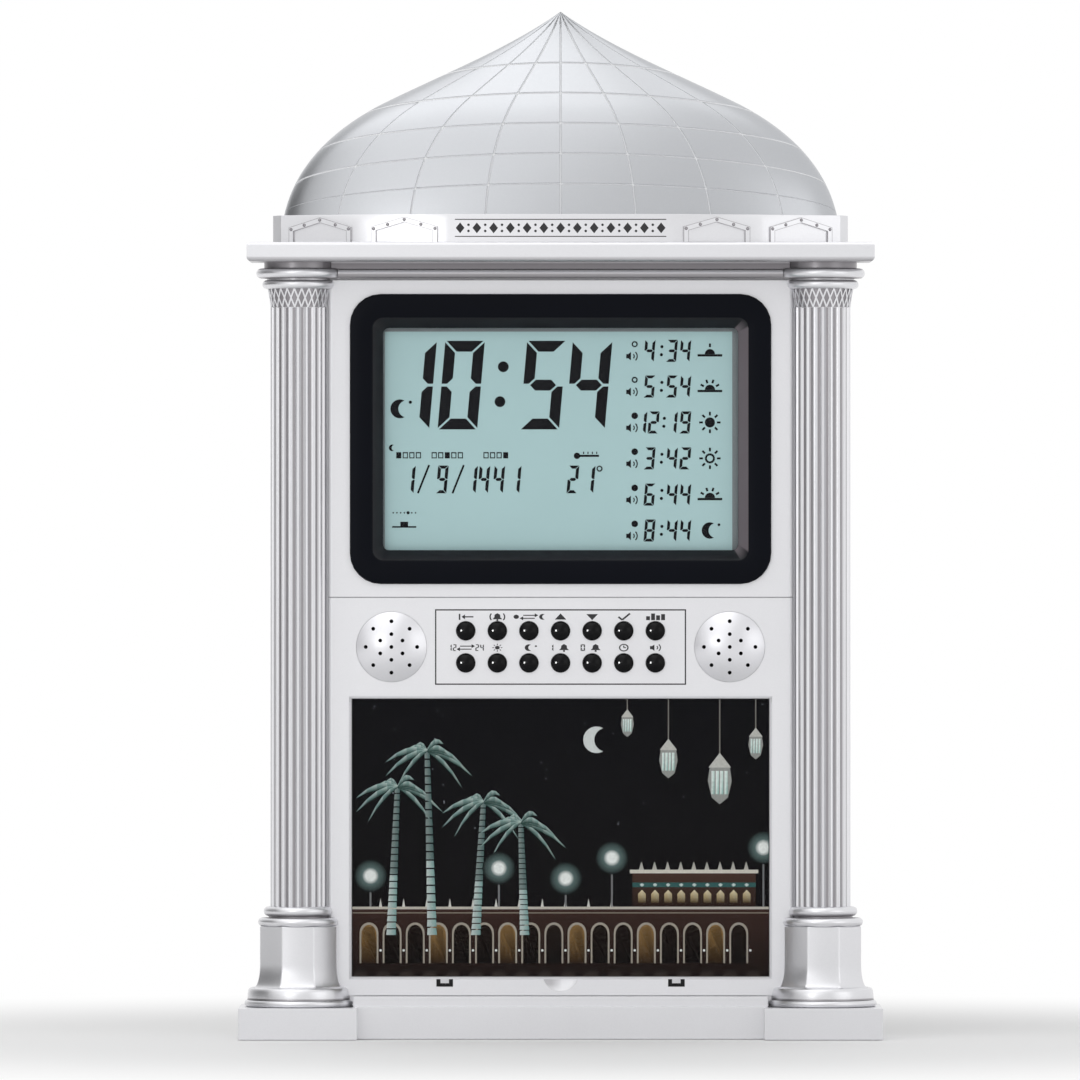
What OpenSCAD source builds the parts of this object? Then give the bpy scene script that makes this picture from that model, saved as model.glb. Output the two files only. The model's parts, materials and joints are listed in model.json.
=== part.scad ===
// A domed and columned clock that stands on a table or hangs on a wall. It has a segment display,
// fourteen keys, two speakers and a picture behind a hinged clear cover, and it opens at the back
// for two cells. Millimetres. X runs to the right, Y to the back and Z up, from the middle of the
// footprint.

/* [Body] */
// Width of the body between the column backs
body_w = 223; // [212:1:236]
// Height of the body from the base rail to the cornice
body_h = 289.4; // [284:0.2:320]
// Depth of the front frame from its face plate to the parting line
frame_d = 8; // [7:0.5:12]
// Depth of the rear cover
cover_d = 17; // [16.5:0.5:24]
// Wall of the front frame's sides and of the rear cover
wall = 2.2; // [1.8:0.1:3]
// Thickness of the front frame's face plate
plate_t = 2.5; // [2:0.1:3.5]
// Thickness of the two front panels
panel_t = 3; // [2.6:0.1:4]
// Height of the lower panel
lower_panel_h = 154.7; // [150:0.1:160]
// Play between neighbouring panels and trims
play = 0.3; // [0.2:0.05:0.5]

/* [Base] */
// How far the base reaches past the body on each side
base_lap = 13.5; // [11:0.5:18]
// Width of each plinth
plinth_w = 46; // [42:1:50]
// Height of the plinths
plinth_h = 12.2; // [10:0.1:14]
// How far the plinths stand in front of the parting line
plinth_reach = 33; // [32:0.5:40]
// Height of the rail between the plinths
rail_h = 12.5; // [11:0.1:16]
// How far the rail is set back behind the plinths
rail_set = 9; // [4:0.5:12]
// Height of the step on the rail
step_h = 3.8; // [2:0.1:6]
// How far the step stands in front of the panels
step_reach = 4; // [2:0.5:8]
// Wall of the base moulding
base_wall = 2.4; // [2:0.1:3.5]
// Ribs under the rail
base_ribs = 5; // [3:1:9]

/* [Columns] */
// Distance of a column's axis inside the body's side
column_inset = 9.5; // [8:0.1:11]
// Radius of the shaft
shaft_r = 10.9; // [9.5:0.1:12]
// Flutes round a whole shaft
flutes = 20; // [12:4:24]
// Radius of the scoop that cuts a flute
flute_r = 1.3; // [0.8:0.05:1.5]
// Radius of the bottom ring
ring_r = 21.1; // [20:0.1:22]
// Height of the bottom ring
ring_h = 2.7; // [2:0.1:4]
// Radius of the foot at its lower edge
foot_r = 20; // [19:0.1:21]
// Radius of the foot at its upper edge
foot_top_r = 19; // [18:0.1:20]
// Height of the foot
foot_h = 4.85; // [3:0.05:6]
// Half the width of the eight-sided pedestal across its flats
pedestal_r = 14.9; // [13:0.1:16]
// Half the width of the pedestal where it flares out to the foot
flare_r = 17.4; // [16:0.1:18.5]
// Height of that flare
flare_h = 9.15; // [6:0.05:12]
// Height of the pedestal
pedestal_h = 23.75; // [18:0.05:28]
// Radius of the lower roll on the pedestal
low_roll_r = 15.8; // [14.5:0.1:17]
// Height of the lower roll
low_roll_h = 3.3; // [2:0.1:4]
// Radius of the upper roll
high_roll_r = 13.6; // [12.5:0.1:15]
// Height of the upper roll
high_roll_h = 3.8; // [2:0.1:5]
// Groove between two rolls
groove_h = 0.6; // [0.3:0.1:1]
// Radius of the capital at its upper edge
capital_r = 12; // [11.5:0.1:13]
// Height of the capital
capital_h = 7.3; // [5:0.1:10]
// Radius of the collar roll above the capital
collar_r = 14.1; // [13:0.1:15]
// Height of the collar roll
collar_h = 3.5; // [2:0.1:5]
// Radius of the head roll
head_r = 16.5; // [15:0.1:18]
// Height of the head roll
head_h = 3.9; // [2:0.1:5]
// Radius of the plain neck under the cornice
neck_r = 13.4; // [12:0.1:15]
// Height of the neck
neck_h = 2.4; // [1.5:0.1:4]

/* [Cornice] */
// How far the cornice slab reaches past the body on each side
cornice_lap = 10.3; // [8:0.1:14]
// Height of the cornice slab
cornice_h = 7.5; // [6:0.1:10]
// How far the slab stands in front of the parting line
cornice_reach = 31; // [29:0.5:36]
// Rounding of the slab's upper front edge
nose_top_r = 1.3; // [0.8:0.1:2]
// Rounding of the slab's lower front edge
nose_low_r = 1.8; // [1:0.1:3]
// Height of the fascia below the slab
fascia_h = 6.4; // [5:0.1:7]
// How far the fascia stands in front of the panels
fascia_reach = 1.5; // [1:0.1:4]
// Radius of the bead along the fascia's lower edge
bead_r = 1.9; // [1.2:0.1:2.4]

/* [Drum] */
// How far the drum reaches past the body on each side
drum_lap = 0.7; // [0:0.1:5]
// Height of the drum
drum_h = 10.9; // [9:0.1:14]
// Distance of the drum's outer corners inside its side
drum_end_inset = 3.1; // [1:0.1:6]
// Distance of its middle corners inside its side
drum_mid_inset = 34.5; // [28:0.1:42]
// Distance of its flat centre face's ends inside its side
drum_face_inset = 68.8; // [62:0.1:76]
// How far the outer corners stand in front of the parting line
drum_end_reach = 7.5; // [5:0.5:10]
// How far the middle corners stand in front of it
drum_mid_reach = 21; // [18:0.5:24]
// How far the centre face stands in front of it
drum_reach = 28.5; // [27:0.5:30]
// Wall of the drum
drum_wall = 2; // [1.5:0.1:3]
// Width of the gable reliefs on the slanting faces
gable_w = 26.4; // [18:0.2:30]
// Height of a gable to its eaves
gable_eaves_h = 5; // [3:0.1:6]
// Height of a gable to its ridge
gable_h = 8.8; // [6:0.1:10]
// Width of a gable's line
gable_line = 0.8; // [0.5:0.1:1.2]
// How far a gable stands out
gable_t = 0.7; // [0.4:0.1:1]

/* [Dome] */
// Distance of the dome's side inside the body's side
dome_inset = 3.6; // [2.5:0.1:7]
// Height of the dome
dome_h = 79.7; // [70:0.1:90]
// How far the dome stands in front of the parting line
dome_reach = 26.5; // [24:0.5:28]
// Wall of the dome
dome_wall = 2; // [1.5:0.1:3]
// Width of the seams between the dome's panels
seam_w = 0.9; // [0.5:0.1:1.4]
// Depth of the seams
seam_d = 0.5; // [0.3:0.1:0.8]
// Rows of panels up the dome
seam_rows = 6; // [4:1:7]
// How far the rear cover keeps inside the dome
dome_step = 1.5; // [1:0.1:3]

/* [Display] */
// Panel left beside the bezel on each side
bezel_side = 8.8; // [6:0.1:12]
// Panel left under the bezel
bezel_foot = 5.2; // [3:0.1:8]
// Panel left over the bezel
bezel_head = 5.65; // [3:0.05:8]
// Corner radius of the bezel
bezel_r = 12; // [8:0.5:16]
// How far the bezel stands in front of the panel
bezel_t = 1.5; // [1:0.1:3]
// Width of the bezel beside the window
bezel_rim_w = 12.9; // [11.5:0.1:16]
// Width of the bezel over and under the window
bezel_rim_h = 13.2; // [12:0.1:16]
// Corner radius of the window
window_r = 2.3; // [1.5:0.1:4]
// Width of the bevel round the window
bevel_w = 4.1; // [3:0.1:5]
// Thickness of the clear lens
lens_t = 1.5; // [1:0.1:2]
// How far the lens reaches past the window
lens_lap = 2.3; // [1.5:0.1:3]
// Thickness of each sheet of the display glass
glass_t = 1.4; // [0.7:0.1:1.5]
// How far the glass reaches past the window
glass_lap = 4.5; // [4:0.1:6]
// How much further the front sheet reaches at its contact edge
contact_lap = 3; // [2.5:0.1:4]
// Thickness of the diffuser
diffuser_t = 1; // [0.5:0.1:1.5]
// Height of the rubber contact strips from glass to board
strip_h = 5; // [4.5:0.1:6]
// Width of the holder's rails
holder_rail = 4.2; // [3.8:0.1:5]

/* [Keys] */
// Distance of the keypad's centre below the upper edge of the lower panel
keys_drop = 19.1; // [17:0.1:21]
// Radius of a key
key_r = 3.66; // [3:0.02:4]
// Distance of the outer keys inside the key board's ends
key_margin = 12.1; // [10:0.1:14]
// Distance from row to row
key_row_pitch = 12.5; // [10.5:0.1:14]
// How far a key stands in front of the panel
key_proud = 2.3; // [1.8:0.1:3]
// Height of a key's domed front
key_dome = 1.7; // [1:0.1:1.8]
// How far a key travels
key_travel = 1; // [0.6:0.1:1.5]
// Running gap round a key
key_gap = 0.15; // [0.1:0.01:0.25]
// How far the retaining flange behind the plate reaches past the key
key_lip = 1.04; // [0.8:0.02:1.4]
// Thickness of that flange
key_flange_t = 1; // [0.8:0.1:1.2]
// Thickness of the rubber sheet
sheet_t = 1.2; // [0.8:0.1:1.6]

/* [Speakers] */
// Distance of a speaker's centre inside the panel's side
speaker_inset = 25; // [21:0.1:27]
// Radius of a speaker
speaker_r = 14; // [13:0.1:14.5]
// Radius of a grille
grille_r = 13.65; // [12.5:0.05:14]
// How far a grille bulges
grille_rise = 4; // [2.5:0.1:5]
// Wall of a grille
grille_t = 1.4; // [1:0.1:2]
// Radius of a sound hole
sound_hole_r = 0.75; // [0.5:0.05:1]
// Radius of the inner ring of holes
inner_ring_r = 5; // [4:0.1:6]
// Radius of the outer ring of holes
outer_ring_r = 10; // [9:0.1:10.5]
// Depth of a speaker's basket
basket_d = 6.4; // [5:0.1:7]
// Radius of a speaker's magnet
magnet_r = 8; // [6:0.1:9]
// Thickness of the magnet
magnet_t = 4.4; // [3:0.1:5]

/* [Picture] */
// Panel left beside the picture opening on each side
picture_side = 8.5; // [7:0.1:12]
// Panel left over the picture opening, for the keys and the speakers
keypad_h = 38.3; // [37:0.1:42]
// Height of the opening above the lower panel's edge
picture_rise = 6.2; // [5:0.1:8]
// Thickness of the clear cover
cover_t = 1.8; // [1.6:0.05:2]
// Thickness of the card
card_t = 0.45; // [0.3:0.05:0.6]
// Radius of the cover's pivot pins
pin_r = 0.9; // [0.7:0.05:0.9]
// Length of a pivot pin
pin_len = 1.4; // [1:0.1:2]
// Play round a pivot pin
pin_play = 0.05; // [0.03:0.01:0.1]
// Distance of the snap catches inside the picture opening's side
catch_inset = 37.2; // [24:0.1:46]
// Width of a catch's notch
catch_w = 6.5; // [5:0.1:8]
// Height of a catch's notch
catch_h = 2.9; // [2:0.1:3.5]
// Width of the cover's tabs in those notches
tab_w = 3.5; // [2.5:0.1:4.5]
// Width of the finger notch
notch_w = 13.3; // [10:0.1:16]
// Height of the finger notch
notch_h = 4.6; // [3:0.1:5]
// Depth of the finger notch
notch_d = 1.4; // [0.8:0.1:2]

/* [Boards] */
// Thickness of the circuit boards
board_t = 1.6; // [1:0.1:1.6]
// Gap between the key board and the speakers' seats
key_board_gap = 1.5; // [0.8:0.1:4]
// Height of the key board
key_board_h = 27; // [26:0.5:30]
// Width of the ribbon that joins the boards
ribbon_w = 14; // [8:1:20]
// Thickness of the ribbon
ribbon_t = 0.3; // [0.2:0.05:0.5]

/* [Cells] */
// Height of the cells' centre above the base rail
cells_z = 71.5; // [60:0.5:90]
// Diameter of a cell
cell_d = 14.5; // [14:0.1:14.5]
// Length of a cell without its nub
cell_l = 49.5; // [48:0.1:50]
// Room for the contacts at each end
contact_room = 4; // [3.5:0.1:5]
// Play round the cells
cell_play = 0.5; // [0.3:0.1:0.8]
// Wall of the cell bay
bay_wall = 2.2; // [1.8:0.1:2.6]
// Thickness of the lid
lid_t = 2; // [1.6:0.1:2]
// How far the lid laps the bay on each side
lid_lap = 1.7; // [1.2:0.1:2]
// Width of the tongues that hook the lid
tongue_w = 8; // [6:0.5:10]
// Thickness of a tongue
tongue_t = 1.6; // [1.2:0.1:2]
// How far a tongue reaches past the lid
tongue_reach = 3.6; // [2.5:0.1:4]
// Distance of a tongue from the middle
tongue_x = 20; // [14:0.5:24]

/* [Fixings] */
// Distance of the rear screws from the body's side
screw_inset = 14.5; // [12:0.5:16]
// Height of the lowest rear screws above the base rail
screw_low = 18; // [14:1:30]
// Distance of the highest rear screws below the cornice
screw_drop = 16.4; // [13:0.1:27]
// Radius of a rear screw's shank
screw_r = 1.35; // [1:0.05:1.5]
// Radius of its head
screw_head_r = 2.9; // [2.4:0.1:3.2]
// Height of its head
screw_head_h = 1.8; // [1.4:0.1:2.4]
// Play round a screw's shank
thread_play = 0.05; // [0.03:0.01:0.1]
// Wall of the bosses and wells
boss_wall = 2; // [1.6:0.1:2.4]
// Radius of a board screw's shank
small_screw_r = 0.95; // [0.8:0.05:1]
// Radius of its head
small_head_r = 1.9; // [1.6:0.05:2]
// Height of its head
small_head_h = 1.1; // [0.8:0.1:1.4]
// Radius of the round part of the hanging keyhole
keyhole_r = 4.5; // [4:0.1:5.5]
// Radius of the keyhole's slot
keyhole_slot_r = 2.2; // [1.8:0.1:2.4]
// Height of the slot's end above the round part
keyhole_rise = 9; // [7:0.5:12]
// Distance of the round part below the cornice
keyhole_drop = 24; // [20:0.5:30]

/* [Hidden] */
$fn = 64;
eps = 0.01;

// Levels up the clock
body_z = rail_h;
cornice_z = body_z + body_h;
drum_z = cornice_z + cornice_h;
dome_z = drum_z + drum_h;
clock_h = dome_z + dome_h;

// Planes from front to back
part_y = (plinth_reach - cover_d) / 2;
back_y = part_y + cover_d;
front_y = part_y - plinth_reach;
plate_y = part_y - frame_d;
face_y = plate_y - plate_t;
panel_y = face_y - panel_t;
rail_y = front_y + rail_set;
bezel_y = panel_y - bezel_t;
inner_back_y = back_y - wall;

// Widths that follow the body
base_w = body_w + 2 * base_lap;
cornice_w = body_w + 2 * cornice_lap;
drum_w = body_w + 2 * drum_lap;
drum_end_w = drum_w - 2 * drum_end_inset;
drum_mid_w = drum_w - 2 * drum_mid_inset;
drum_face_w = drum_w - 2 * drum_face_inset;
dome_w = body_w - 2 * dome_inset;

// Columns
column_x = body_w / 2 - column_inset;
shaft_z = plinth_h + ring_h + foot_h + pedestal_h + low_roll_h + groove_h + high_roll_h;
capital_z = cornice_z - neck_h - head_h - groove_h - collar_h - capital_h;

// Panels
panel_w = 2 * (column_x - shaft_r - play);
lower_z = body_z + step_h + play;
upper_z = lower_z + lower_panel_h + play / 2;
upper_panel_h = cornice_z - fascia_h - play - upper_z;

// Display stack
bezel_w = panel_w - 2 * bezel_side;
bezel_h = upper_panel_h - bezel_foot - bezel_head;
window_w = bezel_w - 2 * bezel_rim_w;
window_h = bezel_h - 2 * bezel_rim_h;
display_z = upper_z + bezel_foot + bezel_h / 2;
window_z = display_z - window_h / 2;
lens_w = window_w + 2 * lens_lap;
lens_h = window_h + 2 * lens_lap;
lens_y = face_y;
collar_t = 2;
collar_w = lens_w + 2 * (play / 2 + collar_t);
collar_hgt = lens_h + 2 * (play / 2 + collar_t);
collar_y = lens_y + lens_t + play / 2;
glass_y = plate_y + play / 2;
glass_w = window_w + 2 * glass_lap;
glass_top = window_z + window_h + glass_lap;
glass_low = window_z - glass_lap;
contact_low = glass_low - contact_lap;
diffuser_y = glass_y + 2 * glass_t;
ledge_y = diffuser_y + diffuser_t;
board_y = glass_y + glass_t + strip_h;
holder_w = glass_w + 2 * (play + holder_rail);
holder_low = contact_low - play - holder_rail;
holder_top = glass_top + play + holder_rail;
board_screw_x = holder_w / 2 - holder_rail / 2;
board_screw_z = [for (k = [0:2]) holder_low + 12 + k * (holder_top - holder_low - 24) / 2];

// Keypad, between the speakers' seats
speaker_x = panel_w / 2 - speaker_inset;
seat_r = speaker_r + play;
seat_wall = 1;
key_board_w = 2 * (speaker_x - seat_r - seat_wall - key_board_gap);
key_pitch = (key_board_w - 2 * key_margin) / 6;
key_flange_r = key_r + key_lip;
keys_z = lower_z + lower_panel_h - keys_drop;
key_x = [for (i = [-3:3]) i * key_pitch];
flange_y = plate_y + play;
sheet_y = flange_y + key_flange_t + key_travel + 1.2;
key_board_y = sheet_y + sheet_t;
sheet_w = 6 * key_pitch + 2 * key_flange_r + 3;
post_x = key_board_w / 2 - 2.6;
post_r = 2.1;

// Picture
picture_w = panel_w - 2 * picture_side;
picture_h = lower_panel_h - picture_rise - keypad_h;
catch_x = picture_w / 2 - catch_inset;
picture_z = lower_z + picture_rise;
pivot_y = panel_y + panel_t / 2;
pivot_z = picture_z + picture_h - play - pin_r - 0.2;
flap_w = picture_w - 2 * play;
card_w = picture_w - 2;
card_h = picture_h - 2;
card_pocket = card_t + play / 2;

// Cell bay
lid_w = cell_l + 1 + 2 * contact_room + 2 * lid_lap;
lid_h = 2 * cell_d + 3 * cell_play + 2 * lid_lap;
bay_w = lid_w - 2 * lid_lap;
bay_h = lid_h - 2 * lid_lap;
bay_z = body_z + cells_z;
lid_top = bay_z + lid_h / 2;
cell_y = inner_back_y - cell_play - cell_d / 2;
bay_y = cell_y - cell_d / 2 - play;

// Rear screws
screw_x = body_w / 2 - screw_inset;
screw_z = [for (k = [0:2]) body_z + screw_low + k * (body_h - screw_drop - screw_low) / 2];
well_r = screw_head_r + play;
boss_y = part_y + 4;
seat_y = boss_y + 2;

// Smaller sizes that the pieces share
panel_edge_r = 2;
collar_r_corner = window_r + 2;
bezel_lip = 0.6;
grille_flange_r = grille_r + 1.2;
strip_w = glass_w - 10;
strip_t = contact_lap - 2 * play;
sheet_dome = 1;
slot_w = 20;
slot_h = 2;
slot_pitch = 5;
tongue_sweep = sqrt(pow(wall + play + tongue_t, 2) + pow(tongue_reach, 2)) + play;

// A flat shape in X and Z, made solid from one Y plane to another
module slab(y0, y1) {
    translate([0, y1, 0]) rotate([90, 0, 0]) linear_extrude(y1 - y0) children();
}

// A round bar along Y
module bar(x, z, y0, y1, r) {
    translate([x, y1, z]) rotate([90, 0, 0]) cylinder(h = y1 - y0, r = r);
}

// A revolved shape whose axis runs along Y from the plane y; its profile's height goes to the front
module turned(x, z, y) {
    translate([x, y, z]) rotate([90, 0, 0]) rotate_extrude() children();
}

// A rectangle in the middle of the clock, by its lower edge
module pane(w, h, z) {
    translate([-w / 2, z]) square([w, h]);
}

// A rectangle with round corners, by its centre
module round_pane(w, h, r) {
    square([w - 2 * r, h], center = true);
    square([w, h - 2 * r], center = true);
    for (sx = [-1, 1], sy = [-1, 1])
        translate([sx * (w / 2 - r), sy * (h / 2 - r)]) circle(r);
}

// A slot with half-round ends, by its centre
module slot(w, h) {
    square([w - h, h], center = true);
    for (s = [-1, 1]) translate([s * (w - h) / 2, 0]) circle(d = h);
}

// A block on the centre z whose front, at y0, and back, at y1, differ in size
module taper(w0, h0, w1, h1, y0, y1, z) {
    intersection() {
        translate([0, 0, z - h0]) linear_extrude(2 * h0)
            polygon([[-w0 / 2, y0], [w0 / 2, y0], [w1 / 2, y1], [-w1 / 2, y1]]);
        translate([-w0, 0, z]) rotate([90, 0, 90]) linear_extrude(2 * w0)
            polygon([[y0, -h0 / 2], [y0, h0 / 2], [y1, h1 / 2], [y1, -h1 / 2]]);
    }
}

// A turned roll: a cylinder with a half-round edge
module roll(r, h) {
    cylinder(h = h, r = r - h / 2);
    translate([0, 0, h / 2]) rotate_extrude() translate([r - h / 2, 0]) circle(d = h);
}

// A point of the dome's side at u from 0, the eaves, to 1, the peak, as shares of half its width
// and of its height: a round shoulder that turns into a hollow sweep
function bezier(p, t) =
    pow(1 - t, 3) * p[0] + 3 * t * pow(1 - t, 2) * p[1] + 3 * t * t * (1 - t) * p[2] + pow(t, 3) * p[3];
shoulder = [[1, 0], [0.968, 0.2], [0.867, 0.39], [0.652, 0.543]];
sweep = [[0.652, 0.543], [0.436, 0.689], [0.185, 0.82], [0, 1]];
function ogee(u) = u < 0.5 ? bezier(shoulder, 2 * u) : bezier(sweep, 2 * u - 1);

// The u at which the dome's side reaches a share h of its height
function ogee_at(h, lo = 0, hi = 1, n = 18) =
    n == 0 ? (lo + hi) / 2 :
    let (mid = (lo + hi) / 2) ogee(mid)[1] < h ? ogee_at(h, mid, hi, n - 1) : ogee_at(h, lo, mid, n - 1);

// Right-hand column, with its own axis at the origin
module column_at_origin() {
    rolls_z = plinth_h + ring_h + foot_h + pedestal_h;
    difference() {
        union() {
            translate([0, 0, plinth_h]) roll(ring_r, ring_h);
            translate([0, 0, plinth_h + ring_h - eps])
                cylinder(h = foot_h + eps, r1 = foot_r, r2 = foot_top_r);
            pedestal();
            translate([0, 0, rolls_z]) roll(low_roll_r, low_roll_h);
            translate([0, 0, rolls_z + low_roll_h - eps])
                cylinder(h = groove_h + 2 * eps, r = high_roll_r - high_roll_h / 2);
            translate([0, 0, shaft_z - high_roll_h]) roll(high_roll_r, high_roll_h);
            translate([0, 0, shaft_z - eps]) linear_extrude(capital_z - shaft_z + 2 * eps) fluted();
            translate([0, 0, capital_z])
                cylinder(h = capital_h + eps, r1 = shaft_r - 0.4, r2 = capital_r - 0.4);
            column_head();
        }
        // The body, the panels and the parting plane bound the column behind
        translate([-body_w, 0, 0]) cube([body_w + column_inset, body_w, clock_h]);
        translate([-body_w, -panel_t, lower_z - play])
            cube([body_w - shaft_r - play / 2, panel_t + 1, cornice_z - lower_z + 1]);
        translate([-body_w, part_y - face_y, 0]) cube([2 * body_w, body_w, clock_h]);
    }
}

// Eight-sided pedestal that flares out to the foot in a hollow curve
module pedestal() {
    corner = 1 / cos(22.5);
    steps = 5;
    translate([0, 0, plinth_h + ring_h + foot_h - eps]) rotate(22.5)
        rotate_extrude($fn = 8) polygon(concat(
            [[0, 0], [flare_r * corner, 0]],
            [for (i = [1:steps]) let (a = 90 * i / steps)
                [(pedestal_r + (flare_r - pedestal_r) * (1 - sin(a))) * corner, flare_h * (1 - cos(a))]],
            [[pedestal_r * corner, pedestal_h + 2 * eps], [0, pedestal_h + 2 * eps]]));
}

// Section of the shaft
module fluted() {
    difference() {
        circle(shaft_r);
        for (i = [0:flutes - 1]) rotate((i + 0.5) * 360 / flutes)
            translate([shaft_r + 0.3, 0]) circle(flute_r, $fn = 24);
    }
}

// Collar, head roll and neck up to the cornice
module column_head() {
    collar_z = capital_z + capital_h;
    translate([0, 0, collar_z]) roll(collar_r, collar_h);
    translate([0, 0, collar_z + collar_h - eps])
        cylinder(h = groove_h + 2 * eps, r = collar_r - collar_h / 2);
    translate([0, 0, collar_z + collar_h + groove_h]) roll(head_r, head_h);
    translate([0, 0, cornice_z - neck_h - eps]) cylinder(h = neck_h + eps, r = neck_r);
}

module right_column() {
    color("silver") translate([column_x, face_y, 0]) column_at_origin();
}

module left_column() {
    mirror([1, 0, 0]) right_column();
}

// One moulding, open below: two plinths, the rail between them and the step on the rail
module base_plinth() {
    rail_w = base_w - 2 * plinth_w;
    step_w = 2 * (column_x - ring_r - play);
    rail_d = back_y - rail_y;
    plinth_d = back_y - front_y;
    rib_pitch = rail_w / (base_ribs + 1);
    half_w = plinth_w / 2 - 1.5 * base_wall;
    color("silver") difference() {
        union() {
            for (s = [-1, 1]) translate([s * (base_w - plinth_w) / 2 - plinth_w / 2, front_y, 0])
                cube([plinth_w, plinth_d, plinth_h]);
            translate([-rail_w / 2 - 1, rail_y, 0]) cube([rail_w + 2, rail_d, rail_h]);
            translate([-step_w / 2, panel_y - step_reach, rail_h - 1])
                cube([step_w, face_y - panel_y + step_reach, step_h + 1]);
        }
        for (s = [-1, 1], k = [0, 1])
            translate([s * (base_w - plinth_w) / 2 + (k - 1) * half_w + (k - 0.5) * base_wall,
                front_y + base_wall, -1])
                cube([half_w, plinth_d - 2 * base_wall, plinth_h - base_wall + 1]);
        for (i = [0:base_ribs])
            translate([-rail_w / 2 + i * rib_pitch + base_wall / 2, rail_y + base_wall, -1])
                cube([rib_pitch - base_wall, rail_d - 2 * base_wall, rail_h - base_wall + 1]);
    }
}

// Slab with a rounded nose and mitred ends, and the fascia with its bead below it
module cornice() {
    trim_z = cornice_z - fascia_h;
    color("silver") {
        difference() {
            intersection() {
                translate([0, 0, cornice_z]) rotate([90, 0, 90])
                    linear_extrude(cornice_w, center = true)
                        mirror([1, 0]) nose(cornice_reach - part_y, -part_y);
                slab(part_y - cornice_reach, part_y) translate([0, cornice_z]) {
                    nose(cornice_w / 2, 0);
                    mirror([1, 0]) nose(cornice_w / 2, 0);
                }
            }
            // The slab is hollow behind
            slab(part_y - cornice_reach + 3 * wall, part_y + 1)
                pane(body_w - 4 * wall, cornice_h - 2 * wall, cornice_z + wall);
        }
        slab(panel_y, face_y) pane(panel_w, fascia_h + eps, trim_z);
        // The fascia's front and its bead end against the column's head and neck
        difference() {
            union() {
                slab(panel_y - fascia_reach, panel_y + eps) pane(panel_w, fascia_h + eps, trim_z);
                translate([-panel_w / 2, panel_y - fascia_reach, trim_z + bead_r])
                    rotate([0, 90, 0]) cylinder(h = panel_w, r = bead_r);
            }
            for (s = [-1, 1]) translate([s * column_x, face_y, trim_z - 1]) {
                cylinder(h = fascia_h - neck_h + 1 + play / 2, r = head_r + play / 2);
                cylinder(h = fascia_h + 2, r = neck_r + play / 2);
            }
        }
    }
}

// Section of the slab, from the plane at back out to its rounded nose at reach
module nose(reach, back) {
    middle = cornice_h - nose_low_r - nose_top_r;
    translate([back, nose_low_r]) square([reach - back, middle]);
    translate([back, 0]) square([reach - back - nose_low_r, cornice_h / 2]);
    translate([back, cornice_h / 2]) square([reach - back - nose_top_r, cornice_h / 2]);
    translate([reach - nose_low_r, nose_low_r]) circle(nose_low_r);
    translate([reach - nose_top_r, cornice_h - nose_top_r]) circle(nose_top_r);
}

// Corners of the drum on the right, from the centre face to the back: half width and reach
drum_corners = [[drum_face_w / 2, drum_reach], [drum_mid_w / 2, drum_mid_reach],
    [drum_end_w / 2, drum_end_reach], [drum_w / 2, 0]];

// Plan of the drum with a wall t taken off, whose ends run on behind the parting plane by past
function drum_plan(t, past) =
    let (right = [for (c = drum_corners)
            [c[0] * (1 - 2 * t / drum_w), part_y - c[1] * (1 - t / drum_reach) + (c[1] == 0 ? past : 0)]])
    concat([for (c = right) c], [for (k = [3:-1:0]) [-right[k][0], right[k][1]]]);

module drum() {
    color("silver") {
        difference() {
            translate([0, 0, drum_z]) linear_extrude(drum_h) polygon(drum_plan(0, 0));
            translate([0, 0, drum_z - 1]) linear_extrude(drum_h - drum_wall + 1)
                polygon(drum_plan(drum_wall, 1));
        }
        for (s = [0, 1], k = [0, 1]) mirror([s, 0, 0]) drum_gable(drum_corners[k], drum_corners[k + 1]);
    }
}

// Gable relief in the middle of the face between two corners
module drum_gable(a, b) {
    mid = (a + b) / 2;
    translate([mid[0], part_y - mid[1], drum_z + (drum_h - gable_h) / 2])
        rotate(atan2(a[1] - b[1], b[0] - a[0])) slab(-gable_t, eps) difference() {
            gable(gable_w / 2, 0, gable_eaves_h, gable_h);
            gable(gable_w / 2 - gable_line, -1, gable_eaves_h - gable_line, gable_h - gable_line);
        }
}

module gable(half, low, eaves, ridge) {
    polygon([[-half, low], [half, low], [half, eaves], [0, ridge], [-half, eaves]]);
}

// Places of the dome's seams: round it by angle, and up it by share of the height
seam_angles = [for (s = [-0.8, -0.54, -0.27, 0, 0.27, 0.54, 0.8]) asin(s)];
seam_heights = [for (k = [1:seam_rows - 1]) k / (seam_rows + 0.7)];

// A list of [place, side of a seam, depth]: three lines for each seam, and lines between them
// that are no further apart than step
function lines(marks, step) = [for (k = [0:len(marks) - 1]) each concat(
    k == 0 || k == len(marks) - 1 ? [[marks[k], 0, 0]] : [for (e = [-1:1]) [marks[k], e, e == 0 ? 1 : 0]],
    k == len(marks) - 1 ? [] :
        let (n = ceil((marks[k + 1] - marks[k]) / step - eps))
        [for (i = [1:1:n - 1]) [marks[k] + (marks[k + 1] - marks[k]) * i / n, 0, 0]])];

// A point of the dome where a seam line round it and one up it cross. The lines round it hang
// lower towards the sides, and the seams are sunk into the surface.
function dome_point(up, round) =
    let (h = up[0] + up[1] * 0.4 * seam_w / dome_h,
         w = ogee(ogee_at(h))[0],
         t = round[0] + round[1] * min(5, seam_w / 2 / (w * dome_w / 2 + eps) * 180 / PI),
         hang = min(0.125 * w * dome_w / 2 / dome_h, 0.92 * h) * (1 - cos(t)),
         v = ogee(ogee_at(h - hang))[0],
         sunk = seam_d * max(up[2], round[2]))
    [v * dome_w / 2 * sin(t) - 0.4 * sunk * sin(t),
     part_y - (v * dome_reach - sunk) * cos(t),
     dome_z + (h - hang) * dome_h - (up[0] == 0 ? 0 : 0.3 * sunk * cos(t))];

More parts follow.
